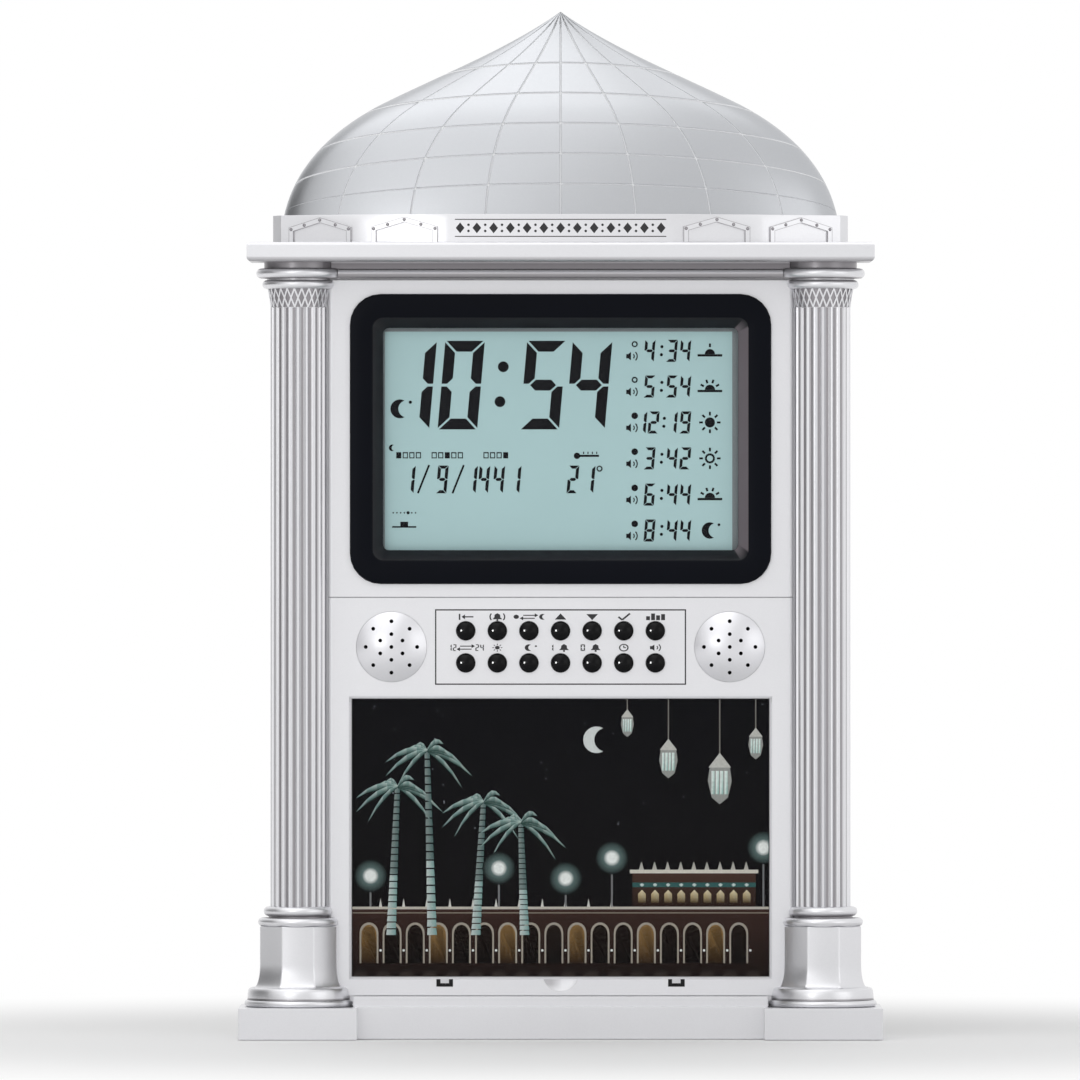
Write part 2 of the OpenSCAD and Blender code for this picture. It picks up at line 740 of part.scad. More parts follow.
// Triangles between two rows of points, of which the first is the longer
function zip(a, b, turned_over) =
    let (n = len(a) - 1, m = len(b) - 1,
         strip = [for (j = [0:n - 1]) let (p = floor(j * m / n), q = floor((j + 1) * m / n)) each
             concat([[a[j], a[j + 1], b[p]]], q > p ? [[a[j + 1], b[q], b[p]]] : [])])
    [for (t = strip) turned_over ? [t[0], t[2], t[1]] : t];

// Dome: one shell, open below and behind
module dome() {
    ups = [for (l = lines(concat([0], seam_heights, [1]), 0.05)) if (l[0] < 1) l];
    rounds = lines(concat([-90], seam_angles, [90]), 6);
    nu = len(ups);
    nr = len(rounds);
    inner_rows = 12;
    inner_cols = 24;
    outer = [for (u = ups) for (r = rounds) dome_point(u, r)];
    inner = [for (i = [0:inner_rows - 1]) for (j = [0:inner_cols])
        let (v = ogee(i / inner_rows), t = -90 + 180 * j / inner_cols)
        [v[0] * (dome_w / 2 - dome_wall) * sin(t), part_y - v[0] * (dome_reach - dome_wall) * cos(t),
         dome_z + v[1] * (dome_h - 1.6 * dome_wall)]];
    peak = nu * nr;
    first = peak + 1;
    inner_peak = first + inner_rows * (inner_cols + 1);
    m = inner_cols + 1;
    sides = [for (j = [0, nr - 1]) concat([for (i = [0:nu - 1]) i * nr + j], [peak])];
    inner_sides = [for (j = [0, inner_cols]) concat([for (i = [0:inner_rows - 1]) first + i * m + j],
        [inner_peak])];
    faces = concat(
        [for (i = [0:nu - 2]) for (j = [0:nr - 2]) let (a = i * nr + j) each
            [[a, a + nr, a + nr + 1], [a, a + nr + 1, a + 1]]],
        [for (j = [0:nr - 2]) [(nu - 1) * nr + j, peak, (nu - 1) * nr + j + 1]],
        [for (i = [0:inner_rows - 2]) for (j = [0:inner_cols - 1]) let (a = first + i * m + j) each
            [[a, a + m + 1, a + m], [a, a + 1, a + m + 1]]],
        [for (j = [0:inner_cols - 1]) let (a = first + (inner_rows - 1) * m + j) [a, a + 1, inner_peak]],
        // Lower rim, and the back rim on each side
        zip([for (j = [0:nr - 1]) j], [for (j = [0:inner_cols]) first + j], false),
        zip(sides[0], inner_sides[0], true),
        zip(sides[1], inner_sides[1], false));
    color("gainsboro") polyhedron(concat(outer, [[0, part_y, clock_h]], inner,
        [[0, part_y, clock_h - 1.6 * dome_wall]]), faces);
}

// Panel blank with rounded upright edges
module panel_blank(z, h) {
    translate([0, 0, z]) linear_extrude(h) intersection() {
        translate([-panel_w / 2, panel_y]) square([panel_w, panel_t]);
        union() {
            translate([-panel_w / 2, panel_y + panel_edge_r]) square([panel_w, panel_t]);
            translate([-panel_w / 2 + panel_edge_r, panel_y]) square([panel_w - 2 * panel_edge_r, panel_t]);
            for (s = [-1, 1]) translate([s * (panel_w / 2 - panel_edge_r), panel_y + panel_edge_r])
                circle(panel_edge_r);
        }
    }
}

module upper_panel() {
    color("silver") difference() {
        panel_blank(upper_z, upper_panel_h);
        slab(panel_y - 1, face_y + 1) display_opening();
    }
}

module display_opening() {
    translate([0, display_z]) round_pane(collar_w + play, collar_hgt + play, collar_r_corner + play / 2);
}

module lower_panel() {
    notch_r = (pow(notch_w / 2, 2) + pow(notch_h, 2)) / (2 * notch_h);
    color("silver") difference() {
        panel_blank(lower_z, lower_panel_h);
        slab(panel_y - 1, face_y + 1) pane(picture_w, picture_h, picture_z);
        for (s = [-1, 1]) {
            slab(panel_y - 1, face_y + 1) translate([s * catch_x, 0])
                pane(catch_w, catch_h + 1, picture_z - catch_h);
            translate([s * (picture_w / 2 + (pin_len + play) / 2), pivot_y, pivot_z]) rotate([0, 90, 0])
                cylinder(h = pin_len + play + eps, r = pin_r + pin_play, center = true);
            bar(s * speaker_x, keys_z, panel_y - 1, face_y + 1, grille_r + play / 2);
            bar(s * speaker_x, keys_z, panel_y + panel_t / 2, face_y + 1, grille_flange_r + play / 2);
        }
        bar(0, picture_z - notch_h + notch_r, panel_y - 1, panel_y + notch_d, notch_r);
        key_holes(panel_y - 1, face_y + 1);
    }
}

module key_holes(y0, y1) {
    for (x = key_x, row = [-1, 1]) bar(x, keys_z + row * key_row_pitch / 2, y0, y1, key_r + key_gap);
}

// Section of a low dome, from the axis out to r and up to h
module cap_section(r, h) {
    ball = (r * r + h * h) / (2 * h);
    intersection() {
        translate([0, h - ball]) circle(ball, $fn = 96);
        square([r, h]);
    }
}

// Domed grille with its flange behind the panel's shoulder
module grille(x) {
    color("gainsboro") difference() {
        turned(x, keys_z, panel_y) difference() {
            union() {
                cap_section(grille_r, grille_rise);
                translate([0, -panel_t]) square([grille_r, panel_t + eps]);
                translate([0, -panel_t]) square([grille_flange_r, panel_t / 2]);
            }
            cap_section(grille_r - grille_t, grille_rise - grille_t);
            translate([0, -panel_t - 1]) square([grille_r - grille_t, panel_t + 1 + eps]);
        }
        bar(x, keys_z, panel_y - grille_rise - 1, face_y + 1, sound_hole_r);
        for (i = [0:5]) let (a = 30 + 60 * i)
            bar(x + inner_ring_r * cos(a), keys_z + inner_ring_r * sin(a), panel_y - grille_rise - 1,
                face_y + 1, sound_hole_r);
        for (i = [0:7]) let (a = 45 * i)
            bar(x + outer_ring_r * cos(a), keys_z + outer_ring_r * sin(a), panel_y - grille_rise - 1,
                face_y + 1, sound_hole_r);
    }
}

module left_grille() { grille(-speaker_x); }
module right_grille() { grille(speaker_x); }

// Black frame whose bevel slopes down to the window, with a collar that carries the lens
module display_bezel() {
    color("black") difference() {
        union() {
            slab(bezel_y, panel_y) translate([0, display_z]) round_pane(bezel_w, bezel_h, bezel_r);
            slab(panel_y - eps, collar_y) translate([0, display_z])
                round_pane(collar_w, collar_hgt, collar_r_corner);
        }
        slab(bezel_y - 1, collar_y + 1) translate([0, display_z]) round_pane(window_w, window_h, window_r);
        // The bevel ends inside the window, so that its edge is cut clean
        taper(window_w + 2 * bevel_w, window_h + 2 * bevel_w, window_w - 0.2, window_h - 0.2,
            bezel_y - eps, lens_y - bezel_lip + 0.1, display_z);
        slab(lens_y, collar_y + 1) translate([0, display_z])
            round_pane(lens_w + play, lens_h + play, window_r);
    }
}

module display_lens() {
    color("white", 0.3) slab(lens_y, lens_y + lens_t) translate([0, display_z])
        round_pane(lens_w, lens_h, window_r);
}

// Two bonded sheets: the front one is longer below, where its contacts are
module lcd_glass() {
    color("lightblue") {
        slab(glass_y, glass_y + glass_t) pane(glass_w, glass_top - contact_low, contact_low);
        slab(glass_y + glass_t - eps, diffuser_y) pane(glass_w, glass_top - glass_low, glass_low);
    }
}

module lcd_diffuser() {
    color("white") slab(diffuser_y, ledge_y)
        pane(glass_w - 1, glass_top - glass_low - 1, glass_low + 0.5);
}

module lcd_holder() {
    color("whitesmoke") difference() {
        slab(plate_y, board_y) pane(holder_w, holder_top - holder_low, holder_low);
        slab(plate_y - 1, ledge_y)
            pane(glass_w + 2 * play, glass_top - contact_low + 2 * play, contact_low - play);
        slab(plate_y, board_y + 1) pane(window_w, window_h, window_z);
        slab(plate_y, board_y + 1) pane(strip_w + 2 * play, strip_t + 2 * play, contact_low);
        board_screw_holes(plate_y - 1, board_y + 1);
    }
}

module zebra_strips() {
    color("dimgray") slab(glass_y + glass_t, board_y) pane(strip_w, strip_t, contact_low + play);
}

module board_screw_holes(y0, y1) {
    for (s = [-1, 1], z = board_screw_z) bar(s * board_screw_x, z, y0, y1, small_screw_r + thread_play);
}

module main_board() {
    color("darkgreen") difference() {
        slab(board_y, board_y + board_t) pane(holder_w, holder_top - holder_low, holder_low);
        board_screw_holes(board_y - 1, board_y + board_t + 1);
    }
}

// On the back of the main board: two sealed chips, a packaged chip, a crystal, two capacitors
// and a temperature bead
module board_components() {
    y = board_y + board_t;
    half = holder_w / 2;
    chip_inset = 46.1;
    color("black") {
        for (x = [chip_inset - half, half - chip_inset - 6])
            turned(x, display_z + 12, y) mirror([0, 1]) cap_section(9, 2.4);
        slab(y, y + 2.3) translate([-4, display_z - 18]) square([10.3, 7.5], center = true);
        translate([half - 28.1, y + 1.5, display_z - 20]) rotate([0, 90, 0]) cylinder(h = 8, r = 1.5);
        for (x = [20.1, 30.1]) bar(x - half, display_z - 20, y, y + 9, 3.1);
        translate([20, y + 1.2, display_z - 20]) sphere(1.2);
    }
}

module keypad_sheet() {
    color("lightgray") {
        slab(sheet_y, key_board_y) translate([0, keys_z]) round_pane(sheet_w, key_row_pitch + 11, 1);
        for (x = key_x, row = [-1, 1])
            bar(x, keys_z + row * key_row_pitch / 2, sheet_y - sheet_dome, sheet_y + eps, key_r);
    }
}

module key_board() {
    color("darkgreen") difference() {
        slab(key_board_y, key_board_y + board_t) pane(key_board_w, key_board_h, keys_z - key_board_h / 2);
        for (s = [-1, 1])
            bar(s * post_x, keys_z, key_board_y - 1, key_board_y + board_t + 1, small_screw_r + thread_play);
    }
}

// A key: domed front, straight stem and the flange that keeps it in
module key_cap(i, row) {
    x = key_x[i - 1];
    z = keys_z + row * key_row_pitch / 2;
    color("black") {
        turned(x, z, panel_y - key_proud + key_dome) cap_section(key_r, key_dome);
        bar(x, z, panel_y - key_proud + key_dome - eps, flange_y + eps, key_r);
        bar(x, z, flange_y, flange_y + key_flange_t, key_flange_r);
    }
}

module speaker_frame(x) {
    rim = 1.6;
    color("gray") turned(x, keys_z, plate_y) polygon([[speaker_r, 0], [speaker_r, -rim],
        [speaker_r - 1, -rim], [magnet_r - 0.5, -basket_d], [0, -basket_d], [0, 0.8 - basket_d],
        [magnet_r - 1.2, 0.8 - basket_d], [speaker_r - 2.2, -rim], [speaker_r - 2.2, 0]]);
}

// Paper cone with its rolled surround and dust cap
module speaker_cone(x) {
    rim = speaker_r - 2.4;
    deep = basket_d - 1.4;
    color("dimgray") turned(x, keys_z, plate_y) {
        polygon([[rim, -0.4], [rim, -0.9], [rim - 1.6, -0.9], [3.4, -deep], [0, -deep], [0, 0.5 - deep],
            [3.4, 0.5 - deep], [rim - 1.6, -0.4]]);
        translate([0, 0.4 - deep]) cap_section(3.3, 1.4);
    }
}

module speaker_magnet(x) {
    color("darkgray") bar(x, keys_z, plate_y + basket_d, plate_y + basket_d + magnet_t, magnet_r);
}

module left_speaker_frame() { speaker_frame(-speaker_x); }
module left_speaker_cone() { speaker_cone(-speaker_x); }
module left_speaker_magnet() { speaker_magnet(-speaker_x); }
module right_speaker_frame() { speaker_frame(speaker_x); }
module right_speaker_cone() { speaker_cone(speaker_x); }
module right_speaker_magnet() { speaker_magnet(speaker_x); }

// Clear flap on two pivot pins at its upper edge, with two snap tabs below
module picture_cover() {
    y0 = pivot_y - cover_t / 2;
    flap_z = picture_z + play;
    color("white", 0.3) {
        slab(y0, y0 + cover_t) pane(flap_w, pivot_z - flap_z, flap_z);
        translate([-flap_w / 2, pivot_y, pivot_z]) rotate([0, 90, 0]) cylinder(h = flap_w, d = cover_t);
        translate([0, pivot_y, pivot_z]) rotate([0, 90, 0])
            cylinder(h = picture_w + 2 * pin_len, r = pin_r, center = true);
        for (s = [-1, 1]) slab(y0, y0 + cover_t) translate([s * catch_x, 0])
            pane(tab_w, catch_h, flap_z - catch_h + play);
    }
}

module picture_card() {
    color("midnightblue") slab(face_y + card_pocket - card_t, face_y + card_pocket)
        pane(card_w, card_h, picture_z + (picture_h - card_h) / 2);
}

module front_frame() {
    color("silver") difference() {
        union() {
            slab(face_y, plate_y) pane(body_w, body_h, body_z);
            slab(plate_y - eps, part_y) difference() {
                pane(body_w, body_h, body_z);
                pane(body_w - 2 * wall, body_h - 2 * wall, body_z + wall);
            }
            for (s = [-1, 1]) {
                for (z = screw_z) bar(s * screw_x, z, plate_y - eps, boss_y, screw_r + boss_wall);
                bar(s * speaker_x, keys_z, plate_y - eps, plate_y + 2.4, seat_r + seat_wall);
                bar(s * post_x, keys_z, plate_y - eps, key_board_y, post_r);
            }
        }
        slab(face_y - 1, plate_y + 1) display_opening();
        slab(face_y - 1, face_y + card_pocket)
            pane(card_w + play, card_h + play, picture_z + (picture_h - card_h - play) / 2);
        key_holes(face_y - 1, plate_y + 1);
        for (s = [-1, 1]) {
            for (z = screw_z) bar(s * screw_x, z, plate_y + 1, boss_y + 1, screw_r + thread_play);
            bar(s * speaker_x, keys_z, plate_y, plate_y + 3, seat_r);
            bar(s * speaker_x, keys_z, face_y - 1, plate_y + 1, grille_r - grille_t);
            bar(s * post_x, keys_z, face_y + 0.6, key_board_y + 1, small_screw_r + thread_play);
        }
        board_screw_holes(face_y + 0.6, plate_y + 1);
    }
}

// Outline of the rear cover with a wall t taken off
module rear_outline(t) {
    steps = 24;
    half = dome_w / 2 - dome_step - t;
    rise = dome_h - dome_step - 0.4 * t;
    right = concat([[body_w / 2 - t, body_z + t], [body_w / 2 - t, dome_z - t]],
        [for (i = [0:steps - 1]) let (v = ogee(i / steps)) [half * v[0], dome_z - t + rise * v[1]]]);
    polygon(concat(right, [[0, dome_z - t + rise]],
        [for (k = [len(right) - 1:-1:0]) [-right[k][0], right[k][1]]]));
}

module rear_cover() {
    keyhole_z = cornice_z - keyhole_drop;
    color("dimgray") difference() {
        union() {
            difference() {
                slab(part_y, back_y) rear_outline(0);
                slab(part_y - 1, inner_back_y) rear_outline(wall);
            }
            slab(bay_y - bay_wall, inner_back_y + eps) translate([0, bay_z])
                square([bay_w + 2 * bay_wall, bay_h + 2 * bay_wall], center = true);
            for (s = [-1, 1], z = screw_z)
                bar(s * screw_x, z, boss_y, inner_back_y + eps, well_r + boss_wall);
        }
        slab(bay_y, back_y + 1) translate([0, bay_z]) square([bay_w, bay_h], center = true);
        slab(inner_back_y, back_y + 1) translate([0, bay_z])
            square([lid_w + play, lid_h + play], center = true);
        for (s = [-1, 1]) {
            slab(back_y - tongue_sweep, inner_back_y + eps)
                translate([s * tongue_x - tongue_w / 2 - play, bay_z + bay_h / 2 - 1])
                    square([tongue_w + 2 * play, lid_lap + tongue_reach + play + 1]);
            for (z = screw_z) {
                bar(s * screw_x, z, seat_y, back_y + 1, well_r);
                bar(s * screw_x, z, boss_y - 1, seat_y + 1, screw_r + play);
            }
            for (k = [-2:2]) slab(inner_back_y - 1, back_y + 1)
                translate([s * speaker_x, keys_z + k * slot_pitch]) slot(slot_w, slot_h);
        }
        slab(inner_back_y - 1, back_y + 1) translate([0, keyhole_z]) {
            circle(keyhole_r);
            translate([-keyhole_slot_r, 0]) square([2 * keyhole_slot_r, keyhole_rise]);
            translate([0, keyhole_rise]) circle(keyhole_slot_r);
        }
    }
}

// Lid that tips out on two tongues hooked behind the cover's wall
module battery_lid() {
    hook_y = inner_back_y - play;
    color("dimgray") {
        slab(back_y - lid_t, back_y) translate([0, bay_z]) square([lid_w, lid_h], center = true);
        for (s = [-1, 1]) translate([s * tongue_x - tongue_w / 2, 0, 0]) {
            translate([0, hook_y - tongue_t, lid_top - lid_lap - 1])
                cube([tongue_w, tongue_t, tongue_reach + lid_lap + 1]);
            translate([0, hook_y - eps, lid_top - lid_lap - 1])
                cube([tongue_w, back_y - lid_t - hook_y + 2 * eps, lid_lap + 1]);
        }
    }
}

// A cell whose nub points along s
module cell(s, z) {
    color("orange") translate([0, cell_y, z]) mirror([s < 0 ? 1 : 0, 0, 0])
        translate([-(cell_l + 1) / 2, 0, 0]) rotate([0, 90, 0]) {
            cylinder(h = cell_l, d = cell_d);
            cylinder(h = cell_l + 1, r = 2.7);
        }
}

cell_rise = (cell_d + cell_play) / 2;
module lower_cell() { cell(1, bay_z - cell_rise); }
module upper_cell() { cell(-1, bay_z + cell_rise); }

// Coil that narrows along X, wound as one tube
module coil(len, r0, r1, turns, wire) {
    per_turn = 10;
    sides = 6;
    n = turns * per_turn;
    p = [for (i = [0:n]) let (a = 360 * i / per_turn, r = r0 + (r1 - r0) * i / n, x = len * i / n)
        for (k = [0:sides - 1]) let (b = 360 * k / sides, q = r + wire / 2 * cos(b))
            [x + wire / 2 * sin(b), q * cos(a), q * sin(a)]];
    f = concat(
        [for (i = [0:n - 1]) for (k = [0:sides - 1]) let (j = (k + 1) % sides, a = i * sides) each
            [[a + k, a + j, a + sides + j], [a + k, a + sides + j, a + sides + k]]],
        [[for (k = [sides - 1:-1:0]) k], [for (k = [0:sides - 1]) n * sides + k]]);
    polyhedron(p, f);
}

// Contacts at the end on the side s: one plate across both cells, or two plates apart
module contacts(s) {
    t = 0.4;
    wire = 0.7;
    reach = contact_room - play / 2 - t;
    high = cell_d / 2 + 3;
    color("silver") mirror([s > 0 ? 0 : 1, 0, 0]) translate([bay_w / 2 - play / 2 - t, 0, 0]) {
        for (up = [-1, 1]) translate([0, cell_y - cell_d / 2 + 1, bay_z + up * cell_rise - high / 2])
            cube([t, cell_d - 2, high]);
        if (s < 0) translate([0, cell_y - 3, bay_z - cell_rise]) cube([t, 6, 2 * cell_rise]);
        translate([0, cell_y, bay_z + s * cell_rise]) mirror([1, 0, 0])
            translate([wire / 2 - eps, 0, 0]) coil(reach - wire - play, 4.2, 3, 3, wire);
        translate([play - reach, cell_y, bay_z - s * cell_rise]) rotate([0, 90, 0])
            cylinder(h = reach - play + eps, r1 = 1.8, r2 = 3);
    }
}

module left_contacts() { contacts(-1); }
module right_contacts() { contacts(1); }

// Flat ribbon from the back of the key board up to the back of the main board
module ribbon_cable() {
    run = [[key_board_y + board_t, keys_z + 4], [key_board_y + board_t, keys_z + key_board_h / 2 + 1],
        [board_y + board_t, holder_low - 3], [board_y + board_t, holder_low + 7]];
    color("gray") rotate([90, 0, 90]) linear_extrude(ribbon_w, center = true)
        polygon(concat(run, [for (k = [3:-1:0]) run[k] + [ribbon_t, 0]]));
}

// A screw with a low domed head; its tip is at tip_y and the head sits on head_y
module screw(x, z, tip_y, head_y, r, head_r, head_h) {
    bar(x, z, tip_y, head_y + eps, r);
    turned(x, z, head_y) mirror([0, 1]) {
        square([head_r, head_h / 2]);
        translate([0, head_h / 2 - eps]) cap_section(head_r, head_h / 2);
    }
}

module rear_screws() {
    color("dimgray") for (s = [-1, 1], z = screw_z)
        screw(s * screw_x, z, plate_y + 2, seat_y, screw_r, screw_head_r, screw_head_h);
}

module small_screw(x, z, head_y) {
    screw(x, z, face_y + 1, head_y, small_screw_r, small_head_r, small_head_h);
}

module board_screws() {
    color("silver") for (s = [-1, 1]) {
        for (z = board_screw_z) small_screw(s * board_screw_x, z, board_y + board_t);
        small_screw(s * post_x, keys_z, key_board_y + board_t);
    }
}

base_plinth();
left_column();
right_column();
cornice();
drum();
dome();
upper_panel();
lower_panel();
left_grille();
right_grille();
display_bezel();
display_lens();
lcd_glass();
lcd_diffuser();
lcd_holder();
zebra_strips();
main_board();
board_components();
keypad_sheet();
key_board();
key_cap(1, 1);  // key_top_1
key_cap(2, 1);  // key_top_2
key_cap(3, 1);  // key_top_3
key_cap(4, 1);  // key_top_4
key_cap(5, 1);  // key_top_5
key_cap(6, 1);  // key_top_6
key_cap(7, 1);  // key_top_7
key_cap(1, -1);  // key_bottom_1
key_cap(2, -1);  // key_bottom_2
key_cap(3, -1);  // key_bottom_3
key_cap(4, -1);  // key_bottom_4
key_cap(5, -1);  // key_bottom_5
key_cap(6, -1);  // key_bottom_6
key_cap(7, -1);  // key_bottom_7
left_speaker_frame();
left_speaker_cone();
left_speaker_magnet();
right_speaker_frame();
right_speaker_cone();
right_speaker_magnet();
picture_cover();
picture_card();
front_frame();
rear_cover();
battery_lid();
lower_cell();
upper_cell();
left_contacts();
right_contacts();
ribbon_cable();
rear_screws();
board_screws();
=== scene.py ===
# Prayer clock with a dome and columns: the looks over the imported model.
# Metres, front towards -Y, Z up. Sizes in the dictionaries are millimetres.
import json
import math
import random
import bpy
import bmesh
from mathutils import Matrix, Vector

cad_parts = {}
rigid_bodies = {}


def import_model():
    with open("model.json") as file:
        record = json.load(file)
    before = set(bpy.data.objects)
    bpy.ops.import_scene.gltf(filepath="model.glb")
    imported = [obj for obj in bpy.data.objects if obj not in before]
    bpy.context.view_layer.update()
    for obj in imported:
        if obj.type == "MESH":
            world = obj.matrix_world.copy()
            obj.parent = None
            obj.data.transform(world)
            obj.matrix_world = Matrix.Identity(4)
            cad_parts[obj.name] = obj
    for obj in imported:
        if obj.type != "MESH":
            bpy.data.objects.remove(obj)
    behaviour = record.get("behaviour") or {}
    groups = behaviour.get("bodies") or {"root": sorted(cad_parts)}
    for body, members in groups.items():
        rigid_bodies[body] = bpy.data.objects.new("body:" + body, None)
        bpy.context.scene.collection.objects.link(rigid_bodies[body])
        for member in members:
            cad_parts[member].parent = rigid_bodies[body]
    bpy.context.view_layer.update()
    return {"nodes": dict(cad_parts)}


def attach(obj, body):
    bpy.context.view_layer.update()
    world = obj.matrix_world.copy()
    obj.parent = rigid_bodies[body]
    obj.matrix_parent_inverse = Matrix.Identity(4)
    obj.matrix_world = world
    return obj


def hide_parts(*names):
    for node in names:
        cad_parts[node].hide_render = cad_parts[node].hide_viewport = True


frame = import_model()
mm = 0.001
scene = bpy.context.scene
print("frame loaded:", len(frame["nodes"]), "nodes")


def linear(hexText):
    channels = [int(hexText[i:i + 2], 16) / 255 for i in (1, 3, 5)]
    return (*[c / 12.92 if c <= 0.04045 else ((c + 0.055) / 1.055) ** 2.4 for c in channels], 1.0)


# Adds a node with its settings and links; a link given as a node means its first output in use
def addNode(tree, kind, settings=None, links=None):
    node = tree.nodes.new("ShaderNode" + kind)
    for key, value in (settings or {}).items():
        if isinstance(key, int) or not hasattr(node, key):
            node.inputs[key].default_value = value
        else:
            setattr(node, key, value)
    for key, source in (links or {}).items():
        if isinstance(source, bpy.types.Node):
            source = next(output for output in source.outputs if output.enabled)
        tree.links.new(source, node.inputs[key])
    return node


# A material, its empty tree and the object's own coordinates
def newMaterial(name):
    material = bpy.data.materials.new(name)
    material.use_nodes = True
    tree = material.node_tree
    tree.nodes.clear()
    return material, tree, addNode(tree, "TexCoord").outputs["Object"]


def addObject(name, data):
    made = bpy.data.objects.new(name, data)
    scene.collection.objects.link(made)
    return made


def meshObject(bm, name, material):
    mesh = bpy.data.meshes.new(name)
    bm.to_mesh(mesh)
    bm.free()
    mesh.materials.append(material)
    return addObject(name, mesh)


# Every piece built here rides on a body
def finishPiece(bm, name, material, body="clock_body", sharpAngle=35, weld=True):
    if weld:
        bmesh.ops.remove_doubles(bm, verts=bm.verts, dist=1e-6)
    bmesh.ops.recalc_face_normals(bm, faces=bm.faces)
    piece = meshObject(bm, name, material)
    for polygon in piece.data.polygons:
        polygon.use_smooth = True
    piece.data.set_sharp_from_angle(angle=math.radians(sharpAngle))
    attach(piece, body)
    return piece


def inMetres(x, y, z):
    return Vector((x * mm, y * mm, z * mm))


def polar(radius, degrees, x=0, z=0):
    a = math.radians(degrees)
    return x + radius * math.cos(a), z + radius * math.sin(a)


# Part of a circle as (x, z) or (radius, height) pairs, angles in degrees
def arc(x, z, radius, start, end, steps):
    return [polar(radius, start + (end - start) * k / steps, x, z) for k in range(steps + 1)]


def disc(x, z, radius, steps=20):
    return arc(x, z, radius, 0, 360, steps)[:-1]


def oblong(x0, z0, x1, z1):
    return [(x0, z0), (x1, z0), (x1, z1), (x0, z1)]


# Most of a circle, with the bow of a second one between its tips
def crescent(x, z, radius):
    bow = radius * math.sin(math.radians(60)) / math.sin(math.radians(75))
    middle = x + radius * math.cos(math.radians(60)) + bow * 0.26
    return arc(x, z, radius, 60, 300, 14) + arc(middle, z, bow, 255, 105, 14)


def stroke(points, width):
    shapes = []
    for (x0, z0), (x1, z1) in zip(points, points[1:]):
        long = math.hypot(x1 - x0, z1 - z0)
        nx, nz = -(z1 - z0) / long * width / 2, (x1 - x0) / long * width / 2
        shapes.append([(x0 + nx, z0 + nz), (x1 + nx, z1 + nz), (x1 - nx, z1 - nz), (x0 - nx, z0 - nz)])
    return shapes


def arcLine(x, z, radius, start, end, width, steps):
    return stroke(arc(x, z, radius, start, end, steps), width)


# Thin printed shapes: flat polygons of (x, z), each a closed slip a few hundredths thick
def printShapes(name, shapes, y, material):
    bm = bmesh.new()
    for shape in shapes:
        front = [bm.verts.new(inMetres(x, y - 0.03, z)) for x, z in shape]
        back = [bm.verts.new(inMetres(x, y, z)) for x, z in shape]
        bm.faces.new(front)
        bm.faces.new(back[::-1])
        for i in range(len(shape)):
            j = (i + 1) % len(shape)
            bm.faces.new((front[i], back[i], back[j], front[j]))
    return finishPiece(bm, name, material, weld=False)


# Faces between each row of vertices and the next; a row of one vertex closes an end
def skinRows(bm, rows, closed=True):
    for low, high in zip(rows, rows[1:]):
        count = max(len(low), len(high))
        for i in range(count if closed else count - 1):
            j = (i + 1) % count
            corners = (low[i % len(low)], low[j % len(low)], high[j % len(high)], high[i % len(high)])
            unique = list(dict.fromkeys(corners))
            if len(unique) > 2:
                bm.faces.new(unique)


def vertexRows(bm, rows):
    return [[bm.verts.new(point) for point in row] for row in rows]


def loft(bm, rings):
    skinRows(bm, vertexRows(bm, rings))


# One turn of a profile of (radius, height) points, with arcs as arc() takes them
def latheRings(profile, steps, place):
    points = []
    for part in profile:
        points += arc(*part) if len(part) > 2 else [part]
    return [[place(0, 0, h)] if r < 1e-6 else
            [place(*polar(r, 360 * k / steps), h) for k in range(steps)] for r, h in points]


def roundRect(width, height, radius, centreZ, y):
    points = []
    for sx, sz, start in ((1, 1, 0), (-1, 1, 90), (-1, -1, 180), (1, -1, 270)):
        middle = sx * (width / 2 - radius), centreZ + sz * (height / 2 - radius)
        points += [inMetres(x, y, z) for x, z in arc(*middle, radius, start, start + 90, 6)]
    return points


paintLook = {
    # Silver paint on moulded ABS: bright, soft-edged reflections with a fine metal flake
    "housing": {"colour": "#E6E6E9", "deep": "#DDDDE0", "metallic": 0.8, "roughness": 0.31},
    "dome": {"colour": "#C2C4C7", "deep": "#B9BBBF", "metallic": 0.85, "roughness": 0.31},
    "panel": {"colour": "#EDEDF0", "deep": "#E5E5E8", "metallic": 0.3, "roughness": 0.42},
    "grille": {"colour": "#E4E4E7", "deep": "#DBDBDF", "metallic": 0.85, "roughness": 0.32},
    "flakeMm": 0.45,      # real flake is about 0.03 mm; drawn coarse enough to show
    "cloudMm": 60,        # spray passes leave broad, faint clouds
    "paintedShade": "#6E696D",  # painted shade in grooves, recesses and corners
    "seam": "#E6E7E9",    # painted highlight: the floor of a dome seam is drawn bright
    "seamMetallic": 0.2, "coat": 0.15, "coatRoughness": 0.2,
}
